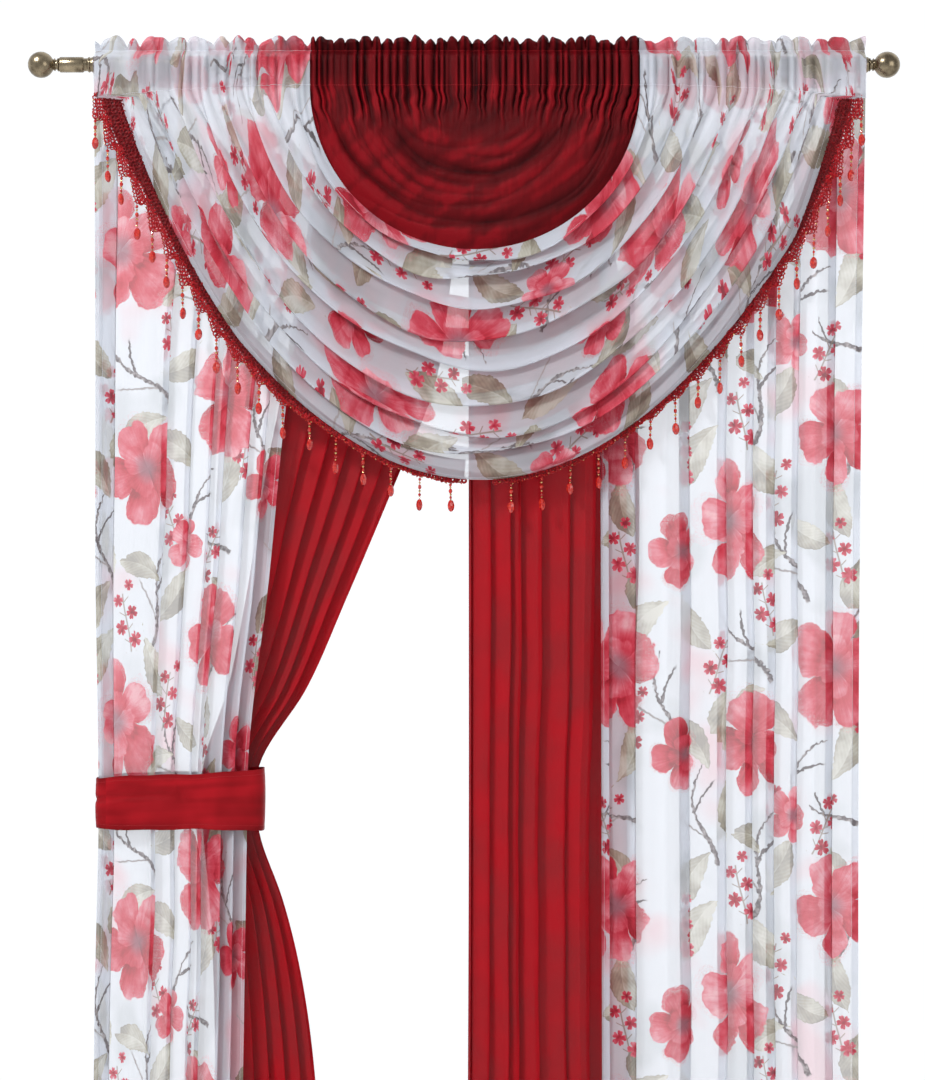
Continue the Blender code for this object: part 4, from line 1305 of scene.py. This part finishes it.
def heading_rows():
    """The section from the flap behind, over the rod, to just above the seam in front, finely stepped.
    Each row has its side, 1 behind and -1 in front, then out, height, gather and ruffle."""
    table = np.array(HEADING_SECTION)
    at = np.linspace(0, len(table) - 1, (len(table) - 1) * HEADING_FINE + 1)
    rows = np.stack([np.interp(at, range(len(table)), table[:, k]) for k in range(4)], axis=1)
    back = [(1.0, *row) for row in rows]
    front = [(-1.0, *row) for row in rows[-2:2:-1]]
    return back + front


def gather_turn(place, pitch, flat_ends, seed):
    """How far the gathers have turned at places along the rod, half a turn for each. They are wider by the
    valance's flat ends, and uneven everywhere."""
    fine = np.linspace(-700.0, 700.0, 2801)
    wide = pitch + 0.0 * fine
    if flat_ends:
        flat_left = 1 - ease((fine - VALANCE_LEFT) / 150.0)
        wide += (FLAT_PITCH - pitch) * (flat_left + 0.6 * ease((fine - 560.0) / 90.0))
    turned = np.concatenate([[0.0], np.cumsum(np.pi / wide[:-1] * np.diff(fine))])
    turned += 0.9 * soft_waves(fine, 5.3 * pitch, seed) + 0.5 * soft_waves(fine, 2.6 * pitch, seed + 2.0)
    return np.interp(place, fine, turned)


def round_gathers(turned):
    """Round gathers with sharp creases between, forward from -0.5 to 0.5."""
    return np.abs(np.sin(turned)) ** 0.8 - 0.5


def gathered_heading(place, wall, seam_wave, depth, turned, looped, seed):
    """Rows of a heading at places along the rod: seam_wave is each column's main wave, depth how far its
    gathers stand out, turned where each column is in them, and looped where it is in the ruffle's loops."""
    gathers = round_gathers(turned)
    loops = np.abs(np.sin(looped)) ** 0.8
    rows = []
    for side, out, height, gather, ruffle in heading_rows():
        rise = ease((height - RUFFLE_FROM) / RUFFLE_GROWTH)
        puff = (RUFFLE_PUFF + LEFT_PUFF * ease((LEFT_PUFF_FROM - place) / 60.0)) * (loops - 0.65)
        top_wave = TOP_WAVE * soft_waves(place, TOP_WAVE_PITCH, seed + 2)
        top = rise * (puff + top_wave + 2.5 * np.sin(turned * 0.37 + seed))
        lean = ruffle * np.sin(2 * turned + 0.8 * side)
        sway = 2.2 * ruffle * np.sin(turned + side * 0.6)
        sway = sway + RUFFLE_SWAY * ruffle * soft_waves(place, RUFFLE_SWAY_PITCH, seed + side)
        opened = 1.0 + RUFFLE_OPENING * ruffle * (loops - 0.5)
        from_rod = side * out * opened * wall
        gathered = depth * gathers * gather * (1 if side < 0 else -1)
        y = from_rod - gathered + seam_wave * gather + sway
        rows.append(np.stack([place + lean, y, height + top], axis=1))
    return rows


turns = pleats(VALANCE_FOLDS, FOLD_STEPS, 0.85, 0.6)
plain_turns = pleats(VALANCE_FOLDS, FOLD_STEPS, -1.0, 0.0)
column = np.arange(len(turns))
share = column / column[-1]
forward = turns[:, 3]
roundness = INNER_ROUNDNESS + (OUTER_ROUNDNESS - INNER_ROUNDNESS) * share
seam_start = VALANCE_SEAM - CORNER_DROP * share**2
inner_edge = ease(share / 0.08)
outer_edge = ease((1 - share) / 0.05)


def gather_depth(place):
    """How deep the gathers are along the rod: less by both flat ends of the valance, and by the scoop."""
    flatten = ease((place - VALANCE_LEFT) / FLAT_LEFT) * ease((VALANCE_RIGHT - place) / FLAT_RIGHT)
    beside = ease((np.abs(place - SCOOP_MIDDLE) - 270.0) / 40.0)
    by_ends = KEPT_AT_ENDS + (1.0 - KEPT_AT_ENDS) * flatten
    return GATHER_DEPTH * by_ends * (KEPT_BY_SCOOP + (1.0 - KEPT_BY_SCOOP) * beside)


def swag_rows():
    """Rows along the folds, from the seam at the left, down and round, to the seam at the right."""
    rows = []
    for step in range(SWAG_STEPS + 1):
        turn = math.pi * (step / SWAG_STEPS - 0.5)
        across = math.sin(turn)
        down = max(math.cos(turn), 0.0)
        rolled = ease(down / 0.5)
        left, right, lowest = (
            plain_turns[:, k] + (turns[:, k] - plain_turns[:, k]) * rolled for k in (0, 1, 2)
        )
        started = seam_start - CORNER_STEP * share**2
        drop = (lowest - started) * down ** (2 * roundness)
        free = inner_edge * outer_edge
        drift = DRIFT * down * soft_waves(turn * 200 + 1300 * share, DRIFT_PITCH, 1.7) * free
        x = (left + right) / 2 + (right - left) / 2 * across
        held = max(1.0 - (down / (LEFT_INSET_END if across < 0 else RIGHT_INSET_END)) ** 2, 0.0)
        x = x - math.copysign(CORNER_INSET * held, across) * ease((share - 0.7) / 0.3)
        z = started + drop + drift * down
        uneven = 1.0 + 0.4 * soft_waves(turn * 170.0 + 1500.0 * share, 230.0, 2.9) * free
        wave = (HEADING_WAVE + (WAVE_AT_MIDDLE - HEADING_WAVE) * down) * uneven
        belly = (BELLY_INNER + (BELLY_OUTER - BELLY_INNER) * share) * down
        rod_place = left_place if across < 0 else right_place
        turned = left_turned if across < 0 else right_turned
        fade_length = FADE_LENGTH + FADE_UNEVENNESS * soft_waves(rod_place, 41.0, 3.0)
        near = 1 - ease((-drop - 10.0) / fade_length)
        fine = -gather_depth(rod_place) * round_gathers(turned) * near
        crease = soft_waves(share * 2300.0 + turn * 45.0, FINE_CREASE_PITCH, 0.6)
        crease = FINE_CREASE * down * crease * free
        y = -HEADING_WALL - belly - wave * forward * (0.75 + 0.25 * rolled) + fine + crease
        row = np.stack([x, y, z], axis=1)
        # The flap above the seam isn't drawn in at the corners.
        flap = np.stack([rod_place, y, seam_start], axis=1)
        if step == 0:
            rows.append(flap)
        rows.append(row)
        if step == SWAG_STEPS:
            rows.append(flap)
    return rows


def valance_heading(place, seed):
    """Where each column is in its gathers, and the rows of its heading, for one side of the valance."""
    turned = gather_turn(place, GATHER_PITCH, True, seed)
    looped = gather_turn(place, RUFFLE_PITCH, True, seed + 1.0)
    seam_wave = -HEADING_WAVE * forward * 0.75
    depth = gather_depth(place)
    return turned, gathered_heading(place, HEADING_WALL, seam_wave, depth, turned, looped, seed)


left_place = plain_turns[:, 0]
right_place = plain_turns[:, 1]
left_turned, left_heading = valance_heading(left_place, 0.4)
right_turned, right_heading = valance_heading(right_place, 2.4)
valance_grid = np.array(left_heading + swag_rows() + right_heading[::-1])
walked = along_length(valance_grid, 0)
middle_row = len(valance_grid) // 2
flat_along = walked - walked[middle_row]
flat_across = np.broadcast_to(along_length(valance_grid, 1)[middle_row], valance_grid.shape[:2])
valance_flat = np.stack([flat_across, flat_along], axis=2)
behind_step = np.array([0.0, HEM_GAP, 0.0])
first_seam = len(left_heading)
inner_hem = int(np.searchsorted(flat_across[0], INNER_HEM))
outer_hem = int(np.searchsorted(flat_across[0], flat_across[0, -1] - OUTER_HEM))
valance_patches = [(valance_grid, valance_flat)]
for part in (np.s_[:, : inner_hem + 1], np.s_[:, outer_hem:]):
    valance_patches.append((valance_grid[part] + behind_step, valance_flat[part]))
valance = cloth_piece("valance_voile", valance_patches, printed_voile, print_from(120.0, 300.0))
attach(valance, "root")
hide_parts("valance")
section = heading_rows()
seams = [k for k, row in enumerate(section) if row[0] < 0 and row[2] == RUFFLE_FOOT]
seams.append(len(section))
sewn = [valance_grid[row] for k in seams for row in (k, -1 - k)]
sewn += [valance_grid[first_seam:-first_seam, column] for column in (inner_hem, outer_hem)]
stitches = stitched("valance_stitches", sewn, "printed_voile")

# Scoop: the red voile in the valance's middle. It is gathered tightly at the rod, and lower down it falls in
# slack cowl folds. The valance's inner edge is sewn over its curved lower edge.
SCOOP_HALF = 271.0
SCOOP_DROP = 268.0
SCOOP_SIDE_DROP = 8.0
SCOOP_WALL = 17.5
SCOOP_SWELL = 3.0
SCOOP_BELLY = 6.0
SCOOP_COLUMNS = 560
SCOOP_ROWS = 110
SCOOP_PITCH = 13.5
SCOOP_LOOP_PITCH = 21.0
# The gathers are shallower at its sides, and nearly gone in a smooth patch on its left.
SIDE_GATHER = 3.0
ADDED_INSIDE = 5.0
SMOOTH_PLACE = -205.0
SMOOTH_REACH = 26.0
SMOOTHED = 0.85
# They lean in to the middle and waver, and fade out at a share of its drop, further down at its sides.
GATHER_LEAN = 0.3
GATHER_WAVER = 2.6
GATHER_END = 0.16
FURTHER_AT_SIDES = 0.16
# Its main cowl folds, how far down they are full, and the slack ones between them.
COWL_DEPTH = 7.0
COWL_FOLDS = 3.4
COWL_FULL = 0.3
SLACK_DEPTH = 30.0
SLACK_FOLDS = (
    # (folds on the way out, slant, start)
    (8.3, 1.1, 4.0),
    (10.6, -0.8, 1.0),
    (14.2, 0.3, 6.0),
)
# Painted light and shade on the scoop, from 0 in its darkest hollows to 1: its level at the heading, and
# below it.
HEADING_PAINTED_LIGHT = 0.33
COWL_PAINTED_LIGHT = 0.45

# Gathered red voile: the same cloth so closely gathered that it is opaque, painted dark deep in its folds as
# painted shade and bright on their crests as painted light, from the scoop's depth attribute.
gathered_voile, tree = new_material("gathered red voile")
flat = add(tree, "ShaderNodeUVMap", uv_map="cloth")
dye = flat_noise(tree, flat, 14.0, 2.0)
fold_painted_light = add(tree, "ShaderNodeAttribute", attribute_name="depth").outputs["Fac"]
tint = summed(tree, 0.0, (fold_painted_light, 1.0), (dye, 0.3))
reds = tone_ramp(tree, tint, (0.1, "#200104"), (0.5, "#4C0409"), (0.8, "#63070F"), (1.0, "#860C17"))
sheer_cloth(tree, reds, 1.0, dye, 0.1, 0.0, red_gloss)


def scoop_gathers(place):
    """How far the scoop's gathers have turned at places along the rod."""
    return gather_turn(place, SCOOP_PITCH, False, 5.0) + 0.8 * soft_waves(place, 33.0, 1.0)


def slack_cowls(reach, angle):
    """How far slack folds stand out that run round the seam's middle, each fading and gathering strength
    along its way. Reach is how far out a point is, 1 at the sewn edge, and angle is where it is round it."""
    fold = COWL_DEPTH * (np.abs(np.cos(np.pi * COWL_FOLDS * (1.0 - reach))) ** 0.6 - 0.65)
    for folds_out, slant, start in SLACK_FOLDS:
        slack_fold = np.abs(np.sin(np.pi * (folds_out * reach + slant * angle + 0.2 * start))) ** 0.6 - 0.68
        slack = 0.35 + 0.9 * soft_waves(70.0 * angle + 300.0 * reach, 150.0, start)
        fold = fold + SLACK_DEPTH / folds_out * slack_fold * np.clip(slack, 0.0, 1.3)
    return fold


turn = np.pi * (np.arange(SCOOP_COLUMNS + 1) / SCOOP_COLUMNS - 0.5)
side = np.sin(turn)
place = SCOOP_MIDDLE + SCOOP_HALF * side
inside = ease((1 - np.abs(side)) / 0.07)
smooth_left = 1 - SMOOTHED * ease(1 - np.abs(place - SMOOTH_PLACE) / SMOOTH_REACH)
depth_here = (SIDE_GATHER + ADDED_INSIDE * inside) * smooth_left
wall_here = SCOOP_WALL + SCOOP_SWELL * inside
turned = scoop_gathers(place)
looped = gather_turn(place, SCOOP_LOOP_PITCH, False, 2.0)
rows = gathered_heading(place, wall_here, 0.0, depth_here, turned, looped, 6.0)
# Painted light on the crests of the heading's gathers and painted shade in their creases.
scoop_painted_light = [HEADING_PAINTED_LIGHT + 0.8 * round_gathers(turned) * smooth_left] * len(rows)
drop = SCOOP_SIDE_DROP + SCOOP_DROP * np.cos(turn)
for row in range(SCOOP_ROWS + 1):
    z = VALANCE_SEAM - drop * row / SCOOP_ROWS
    depth = (VALANCE_SEAM - z) / SCOOP_DROP
    # Gathers wander, lean in to the middle, and end unevenly.
    waver = GATHER_WAVER * ease(depth / 0.06) * soft_waves(0.4 * place - 260.0 * depth, 62.0, 2.0)
    leant = SCOOP_MIDDLE + SCOOP_HALF * side * (1 + GATHER_LEAN * depth) + waver
    turned = scoop_gathers(leant)
    length = GATHER_END + FURTHER_AT_SIDES * np.abs(side) + 0.1 * soft_waves(leant, 37.0, 3.0)
    fade = 1.0 - ease((depth - 0.06) / np.maximum(length, 0.06))
    second = round_gathers(1.7 * turned + 2.0) * (0.3 + 0.3 * soft_waves(leant, 53.0, 2.0))
    gathers = (round_gathers(turned) + second) * fade * smooth_left
    # Uneven patches of painted light and shade along the gathers.
    painted_light_patches = 0.22 * soft_waves(leant, 47.0, 7.0) * fade
    painted_light_patches = painted_light_patches + 0.12 * soft_waves(leant + 400.0 * depth, 90.0, 3.0)
    # Cowl folds run round below them.
    off_centre = np.hypot(side, depth)
    reach = off_centre + 0.03 * soft_waves(place, 390.0, 2.0)
    sewn = ease((1.0 - off_centre) / 0.1)
    angle = np.arctan2(side, depth + 0.05)
    cowl = ease((off_centre - 0.2) / 0.25) * sewn * ease((depth - 0.04) / COWL_FULL)
    fold = slack_cowls(reach, angle)
    full = ease(depth / COWL_FULL)
    hang = SCOOP_WALL + SCOOP_SWELL * inside * (1 - full) + SCOOP_BELLY * np.cos(turn) * full
    hang = hang + SCOOP_BELLY * sewn * full
    y = -hang - depth_here * gathers - fold * cowl
    rows.append(np.stack([place, y, z], axis=1))
    # Painted light on a smooth patch low on the left and further down, painted shade just below the heading,
    # and the crests of gathers and cowls painted lighter, their creases darker.
    lit = 0.3 * ease((off_centre - 0.7) / 0.2) * ease(0.5 - 0.6 * side) + 0.1 * ease(depth / 0.5)
    painted_shade_level = COWL_PAINTED_LIGHT - 0.12 * (1.0 - ease(depth / 0.35))
    scoop_painted_light.append(np.clip(painted_shade_level + 0.8 * gathers + painted_light_patches + fold * cowl / 12.0 + lit, 0.0, 1.0))
scoop_grid = np.array(rows)
flat_across = along_length(scoop_grid, 1)[len(section) - 1]
flat_across = np.broadcast_to(flat_across, scoop_grid.shape[:2])
scoop_flat = np.stack([flat_across, -along_length(scoop_grid, 0)], axis=2)
scoop = cloth_piece("scoop_voile", [(scoop_grid, scoop_flat)], gathered_voile)
# The scoop's painted light and shade, kept as its depth attribute.
kept = scoop.data.attributes.new("depth", "FLOAT", "POINT")
kept.data.foreach_set("value", np.array(scoop_painted_light).ravel())
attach(scoop, "root")
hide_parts("valance_scoop")
stitches = stitched("scoop_stitches", [scoop_grid[k] for k in seams], "red_voile")

# Trim: a dark red crocheted braid, sewn behind the valance's outer edge. It shows widest at the corners. Its
# outer edge is a row of picot loops, and from every scallop hangs a thread with cut glass and gilt beads.
SHEET = 1.2
TAPE_WIDTH = 33.0
DROP_PITCH = 50.0
DROP_LENGTHS = (52.0, 60.0, 49.0, 64.0, 56.0)
MEAN_DROP = 56.0
BRAID_STEP = 4.0
BRAID_COLUMNS = 8
LOOP_ROWS = (1.5, 8.0, 14.5, 21.0, 27.5)
LACE_ROWS = (0.2, 0.45, 0.7, 1.0)
SCALLOP_END = 0.16
# How much of the braid shows, and how far the lace reaches past it, along the edge and more at its corners.
SHOWN_AT_MIDDLE = 1.0
SHOWN_LEFT = 9.0
SHOWN_RIGHT = 1.0
SHOWN_AT_CORNER = 20.0
LACE_REACH = 5.0
LACE_AT_CORNER = 15.0
# The valance's edge, by the angle round its middle, and how far it is drawn on upwards behind the heading.
EDGE_END = 90.0
DRAWN_ON_ANGLE = 2.0
DRAWN_ON = 14.0
TRIM_END = 91.6
TRIM_MIDDLE = 2.0
FRINGE = 4.5
SEED_BEAD = 2.6
DROP_BEADS = (
    # (down, wide, long, kind)
    (6.5, 5.8, 5.4, "glass"),
    (11.6, 4.2, 3.8, "gilt"),
    (18.0, 7.0, 8.0, "glass"),
    (24.4, 4.6, 4.2, "gilt"),
    (30.0, 5.0, 5.4, "glass"),
    (34.0, 3.4, 2.8, "gilt"),
    (MEAN_DROP - 10.5, 12.4, 20.0, "glass"),
)

# Crocheted cotton: deep red and knotted, each knot painted bright at its middle as a painted highlight and
# dark at its edges as painted shade. It is darker in the dense braid than in the open lace.
crochets = []
for label, bright, dark in (
    ("red crochet lace", "#CC1622", "#8A0812"),
    ("dark red crochet braid", "#9E0F19", "#5A050C"),
):
    crochet, tree = new_material(label)
    crochets.append(crochet)
    place = add(tree, "ShaderNodeTexCoord")
    knots = add(tree, "ShaderNodeTexVoronoi", place.outputs["Object"])
    knots.inputs["Scale"].default_value = 420.0
    # Painted highlight at each knot's middle, painted shade between the knots.
    knot_painted_light = tone_ramp(tree, knots.outputs["Distance"], (0.12, bright), (0.7, dark))
    yarn = add(tree, "ShaderNodeBsdfPrincipled", knot_painted_light)
    set_inputs(yarn, {"Roughness": 0.4, "Specular IOR Level": 0.25})
    with_bump(tree, yarn, 0.6, 0.001, knots.outputs["Distance"], invert=True)
    add(tree, "ShaderNodeOutputMaterial", yarn)
red_lace, red_braid = crochets

# Red glass, cut in flats, painted bright orange red in patches as painted light coming through it, and deeper
# red where the glass is clouded.
red_glass, tree = new_material("cut red glass")
place = add(tree, "ShaderNodeTexCoord")
cloud_and_painted_glow = add(tree, "ShaderNodeTexNoise", place.outputs["Object"], None, 300.0, 1.0)
# Bright patches are painted light coming through; deeper ones are clouded glass.
glass_tones = tone_ramp(tree, cloud_and_painted_glow, (0.35, "#C0141C"), (0.65, "#F0402C"))
glass = add(tree, "ShaderNodeBsdfPrincipled", glass_tones)
set_inputs(glass, {"Roughness": 0.06, "IOR": 1.52, "Transmission Weight": 0.3, "Coat Weight": 0.6})
add(tree, "ShaderNodeOutputMaterial", glass)

# Gilt metal beads.
gilt, tree = new_material("gilt bead metal")
place = add(tree, "ShaderNodeTexCoord")
rubbed = add(tree, "ShaderNodeTexNoise", place.outputs["Object"], None, 500.0, 1.0)
gilt_tones = tone_ramp(tree, rubbed, (0.0, "#C8924A"), (1.0, "#F3D9A4"))
gold = add(tree, "ShaderNodeBsdfPrincipled", gilt_tones)
set_inputs(gold, {"Roughness": 0.2, "Metallic": 1.0})
add(tree, "ShaderNodeOutputMaterial", gold)

# Loops along lines: a ring of yarn at every pitch, each a little turned and a little larger or smaller.
loop_tree, given = geometry_tree(
    "yarn loops",
    (
        ("Pitch", "NodeSocketFloat", 0.006),
        ("Ring", "NodeSocketFloat", 0.0036),
        ("Yarn", "NodeSocketFloat", 0.0011),
        ("Seed", "NodeSocketInt", 1),
        ("Material", "NodeSocketMaterial", None),
    ),
)
line = add(loop_tree, "GeometryNodeMeshToCurve", given.outputs["Geometry"])
spaced = add(loop_tree, "GeometryNodeResampleCurve", line)
spaced.mode = "LENGTH"
wire(loop_tree, spaced, Length=given.outputs["Pitch"])
ring = add(loop_tree, "GeometryNodeCurvePrimitiveCircle", 12)
wire(loop_tree, ring, Radius=given.outputs["Ring"])
section = add(loop_tree, "GeometryNodeCurvePrimitiveCircle", 5)
wire(loop_tree, section, Radius=given.outputs["Yarn"])
loop = add(loop_tree, "GeometryNodeCurveToMesh", ring, section)
tilt = add(loop_tree, "FunctionNodeRandomValue", data_type="FLOAT_VECTOR")
tilt.inputs[0].default_value = (1.2, -0.35, -0.5)
tilt.inputs[1].default_value = (1.95, 0.35, 0.5)
wire(loop_tree, tilt, Seed=given.outputs["Seed"])
growth = add(loop_tree, "FunctionNodeRandomValue", data_type="FLOAT")
growth.inputs[2].default_value = 0.75
growth.inputs[3].default_value = 1.2
wire(loop_tree, growth, Seed=given.outputs["Seed"])
copies = add(loop_tree, "GeometryNodeInstanceOnPoints", spaced, None, loop)
wire(loop_tree, copies, Rotation=tilt.outputs[0], Scale=growth.outputs[1])
end_tree(loop_tree, copies, given.outputs["Material"])

# Beads: a cut ball at every point, as wide, deep and long as the point's size says.
bead_tree, given = geometry_tree(
    "cut beads",
    (
        ("Flats", "NodeSocketInt", 8),
        ("Seed", "NodeSocketInt", 1),
        ("Material", "NodeSocketMaterial", None),
    ),
)
ball = add(bead_tree, "GeometryNodeMeshUVSphere", None, 6, 0.5)
wire(bead_tree, ball, Segments=given.outputs["Flats"])
size = add(bead_tree, "GeometryNodeInputNamedAttribute", "size", data_type="FLOAT_VECTOR")
spin = add(bead_tree, "FunctionNodeRandomValue", data_type="FLOAT_VECTOR")
spin.inputs[0].default_value = (-0.08, -0.08, 0.0)
spin.inputs[1].default_value = (0.08, 0.08, 3.1)
wire(bead_tree, spin, Seed=given.outputs["Seed"])
copies = add(bead_tree, "GeometryNodeInstanceOnPoints", given.outputs["Geometry"], None, ball.outputs["Mesh"])
wire(bead_tree, copies, Rotation=spin.outputs[0], Scale=size.outputs["Attribute"])
end_tree(bead_tree, copies, given.outputs["Material"])

# Threads: a thin round cord along each line.
thread_tree, given = geometry_tree(
    "threads", (("Radius", "NodeSocketFloat", 0.0005), ("Material", "NodeSocketMaterial", None))
)
line = add(thread_tree, "GeometryNodeMeshToCurve", given.outputs["Geometry"])
section = add(thread_tree, "GeometryNodeCurvePrimitiveCircle", 6)
wire(thread_tree, section, Radius=given.outputs["Radius"])
cord = add(thread_tree, "GeometryNodeCurveToMesh", line, section)
end_tree(thread_tree, cord, given.outputs["Material"])


def from_middle_of_edge(x):
    """How far a place is from the middle of the valance's outer edge: 1 at its corners."""
    middle = (VALANCE_FOLDS[-1][0] + VALANCE_FOLDS[-1][1]) / 2
    half = (VALANCE_FOLDS[-1][1] - VALANCE_FOLDS[-1][0]) / 2
    return abs(x - middle) / half


def shown_width(x):
    """How much of the braid's width shows past the valance: most at the corners, hardly any at the middle,
    and in between more on the left."""
    away = from_middle_of_edge(x)
    side_share = SHOWN_LEFT if x < 0 else SHOWN_RIGHT
    shown = SHOWN_AT_MIDDLE + side_share * ease((away - 0.38) / 0.12)
    return shown + SHOWN_AT_CORNER * ease((away - 0.78) / 0.17)


def lace_at(x, at, margin, side):
    """How far the lace reaches past the braid. Down along each scallop it grows up to its drop, and ends."""
    part = ((at - margin) / DROP_PITCH * (1 if side == "left" else -1)) % 1.0
    falling = part < SCALLOP_END
    deep = 1.0 - part / SCALLOP_END if falling else (part - SCALLOP_END) / (1.0 - SCALLOP_END)
    by_corner = ease((from_middle_of_edge(x) - 0.25) / 0.6)
    return (LACE_REACH + LACE_AT_CORNER * by_corner) * (0.25 + 0.75 * deep)


valance_edge = valance_grid[first_seam + 1 : first_seam + SWAG_STEPS + 2, -1]
behind_heading = valance_edge[[0, -1]] + (0.0, 0.0, DRAWN_ON)
valance_edge = np.concatenate([behind_heading[:1], valance_edge, behind_heading[1:]])
drawn_to = EDGE_END + DRAWN_ON_ANGLE
edge_angles = np.concatenate([[-drawn_to], np.linspace(-EDGE_END, EDGE_END, SWAG_STEPS + 1), [drawn_to]])


def edge_points(first_angle, last_angle, offsets_at):
    """Points along the valance's edge between two angles, at the distances that offsets_at gives for the
    whole length, each with its outward direction."""
    fine_angles = np.linspace(first_angle, last_angle, 801)
    fine = [np.interp(fine_angles, edge_angles, valance_edge[:, axis]) for axis in range(3)]
    fine = np.stack(fine, axis=1)
    lengths = np.concatenate([[0.0], np.cumsum(np.linalg.norm(np.diff(fine, axis=0), axis=1))])
    places = []
    for at in offsets_at(lengths[-1]):
        here, ahead = (
            np.array([np.interp(distance, lengths, fine[:, axis]) for axis in range(3)])
            for distance in (at - 2.0, at + 2.0)
        )
        along = (ahead - here) / np.linalg.norm(ahead - here)
        places.append(((here + ahead) / 2, np.array([along[2], 0.0, -along[0]]), at))
    return places


behind_sheet = np.array([0.0, SHEET, 0.0])


def drop_places(whole):
    """Where the drops hang along a trim of this whole length, a pitch apart, with equal margins."""
    margin = (whole - (whole // DROP_PITCH - 1) * DROP_PITCH) / 2
    return np.arange(margin, whole, DROP_PITCH)


for side, first_angle, last_angle in (
    ("left", -TRIM_END, -TRIM_MIDDLE),
    ("right", TRIM_MIDDLE, TRIM_END),
):
    path = edge_points(first_angle, last_angle, lambda whole: np.arange(2.0, whole - 2.0, BRAID_STEP))
    drops = edge_points(first_angle, last_angle, drop_places)
    margin = drops[0][2]
    rows = []
    lace_points = []
    loop_points = []
    loop_edges = []
    for place, outward, at in path:
        shown = shown_width(place[0])
        lace = lace_at(place[0], at, margin, side)
        row = []
        for k in range(BRAID_COLUMNS + 1):
            reach = shown - TAPE_WIDTH + (TAPE_WIDTH - 1.0 + 0.15 * lace) * k / BRAID_COLUMNS
            lift = 0.5 * math.sin(at * 0.9 + k * 2.1)
            row.append(place + outward * reach + np.array([0.0, SHEET + GAP + lift, 0.0]))
        rows.append(row)
        for part in LACE_ROWS:
            lace_points.append(place + outward * (shown + part * lace) + behind_sheet)
    for offset in LOOP_ROWS:
        before = None
        for place, outward, at in path[2:-2]:
            if shown_width(place[0]) < offset - 2.0:
                before = None
                continue
            loop_points.append(place + outward * offset + np.array([0.0, 0.4, 0.0]))
            if before is not None:
                loop_edges.append((before, len(loop_points) - 1))
            before = len(loop_points) - 1
    lace_edges = [(k, k + len(LACE_ROWS)) for k in range(len(lace_points) - len(LACE_ROWS))]
    braid_grid = np.array(rows)
    braid_flat = np.stack([along_length(braid_grid, 1), along_length(braid_grid, 0)], axis=2)
    braid = cloth_piece("braid_" + side, [(braid_grid, braid_flat)], red_braid)
    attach(braid, "root")
    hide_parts("trim_" + side)
    chosen = {"Seed": 3, "Material": red_braid}
    loops = grown("braid_loops_" + side, loop_points, loop_edges, loop_tree, chosen)
    chosen = {"Seed": 5, "Material": red_lace}
    lace = grown("lace_" + side, lace_points, lace_edges, loop_tree, chosen)

    # Every fifth seed bead is gilt.
    beads = {"glass": [], "gilt": []}
    for k, (place, outward, at) in enumerate(path):
        shown = shown_width(place[0])
        reach = shown + lace_at(place[0], at, margin, side) + FRINGE * (0.4 + 0.5 * (k % 2))
        spot = place + outward * reach + np.array([0.0, SHEET - 1.5, 0.0])
        beads["gilt" if k % 5 == 2 else "glass"].append((spot, (SEED_BEAD, SEED_BEAD, SEED_BEAD)))
    thread_points = []
    for k, (place, outward, at) in enumerate(drops):
        reach = shown_width(place[0]) + lace_at(place[0], at, margin, side)
        root = place + outward * reach + behind_sheet
        length = DROP_LENGTHS[k % len(DROP_LENGTHS)]
        stretch = length / MEAN_DROP
        sway = 1.3 * math.sin(2.3 * k)
        for down, wide, long, kind in DROP_BEADS:
            spot = root + np.array([sway * down / MEAN_DROP, 0.0, -down * stretch])
            beads[kind].append((spot, (wide, wide * 0.85, long)))
        thread_points += [root + np.array([0.0, 0.0, 3.0]), root + np.array([sway, 0.0, -length + 6.0])]
    thread_edges = [(start, start + 1) for start in range(0, len(thread_points), 2)]
    spots, sizes = zip(*beads["glass"])
    chosen = {"Flats": 8, "Material": red_glass}
    glass = grown("glass_beads_" + side, spots, [], bead_tree, chosen, sizes)
    spots, sizes = zip(*beads["gilt"])
    chosen = {"Flats": 12, "Material": gilt}
    gold = grown("gilt_beads_" + side, spots, [], bead_tree, chosen, sizes)
    chosen = {"Material": red_lace}
    threads = grown("bead_threads_" + side, thread_points, thread_edges, thread_tree, chosen)
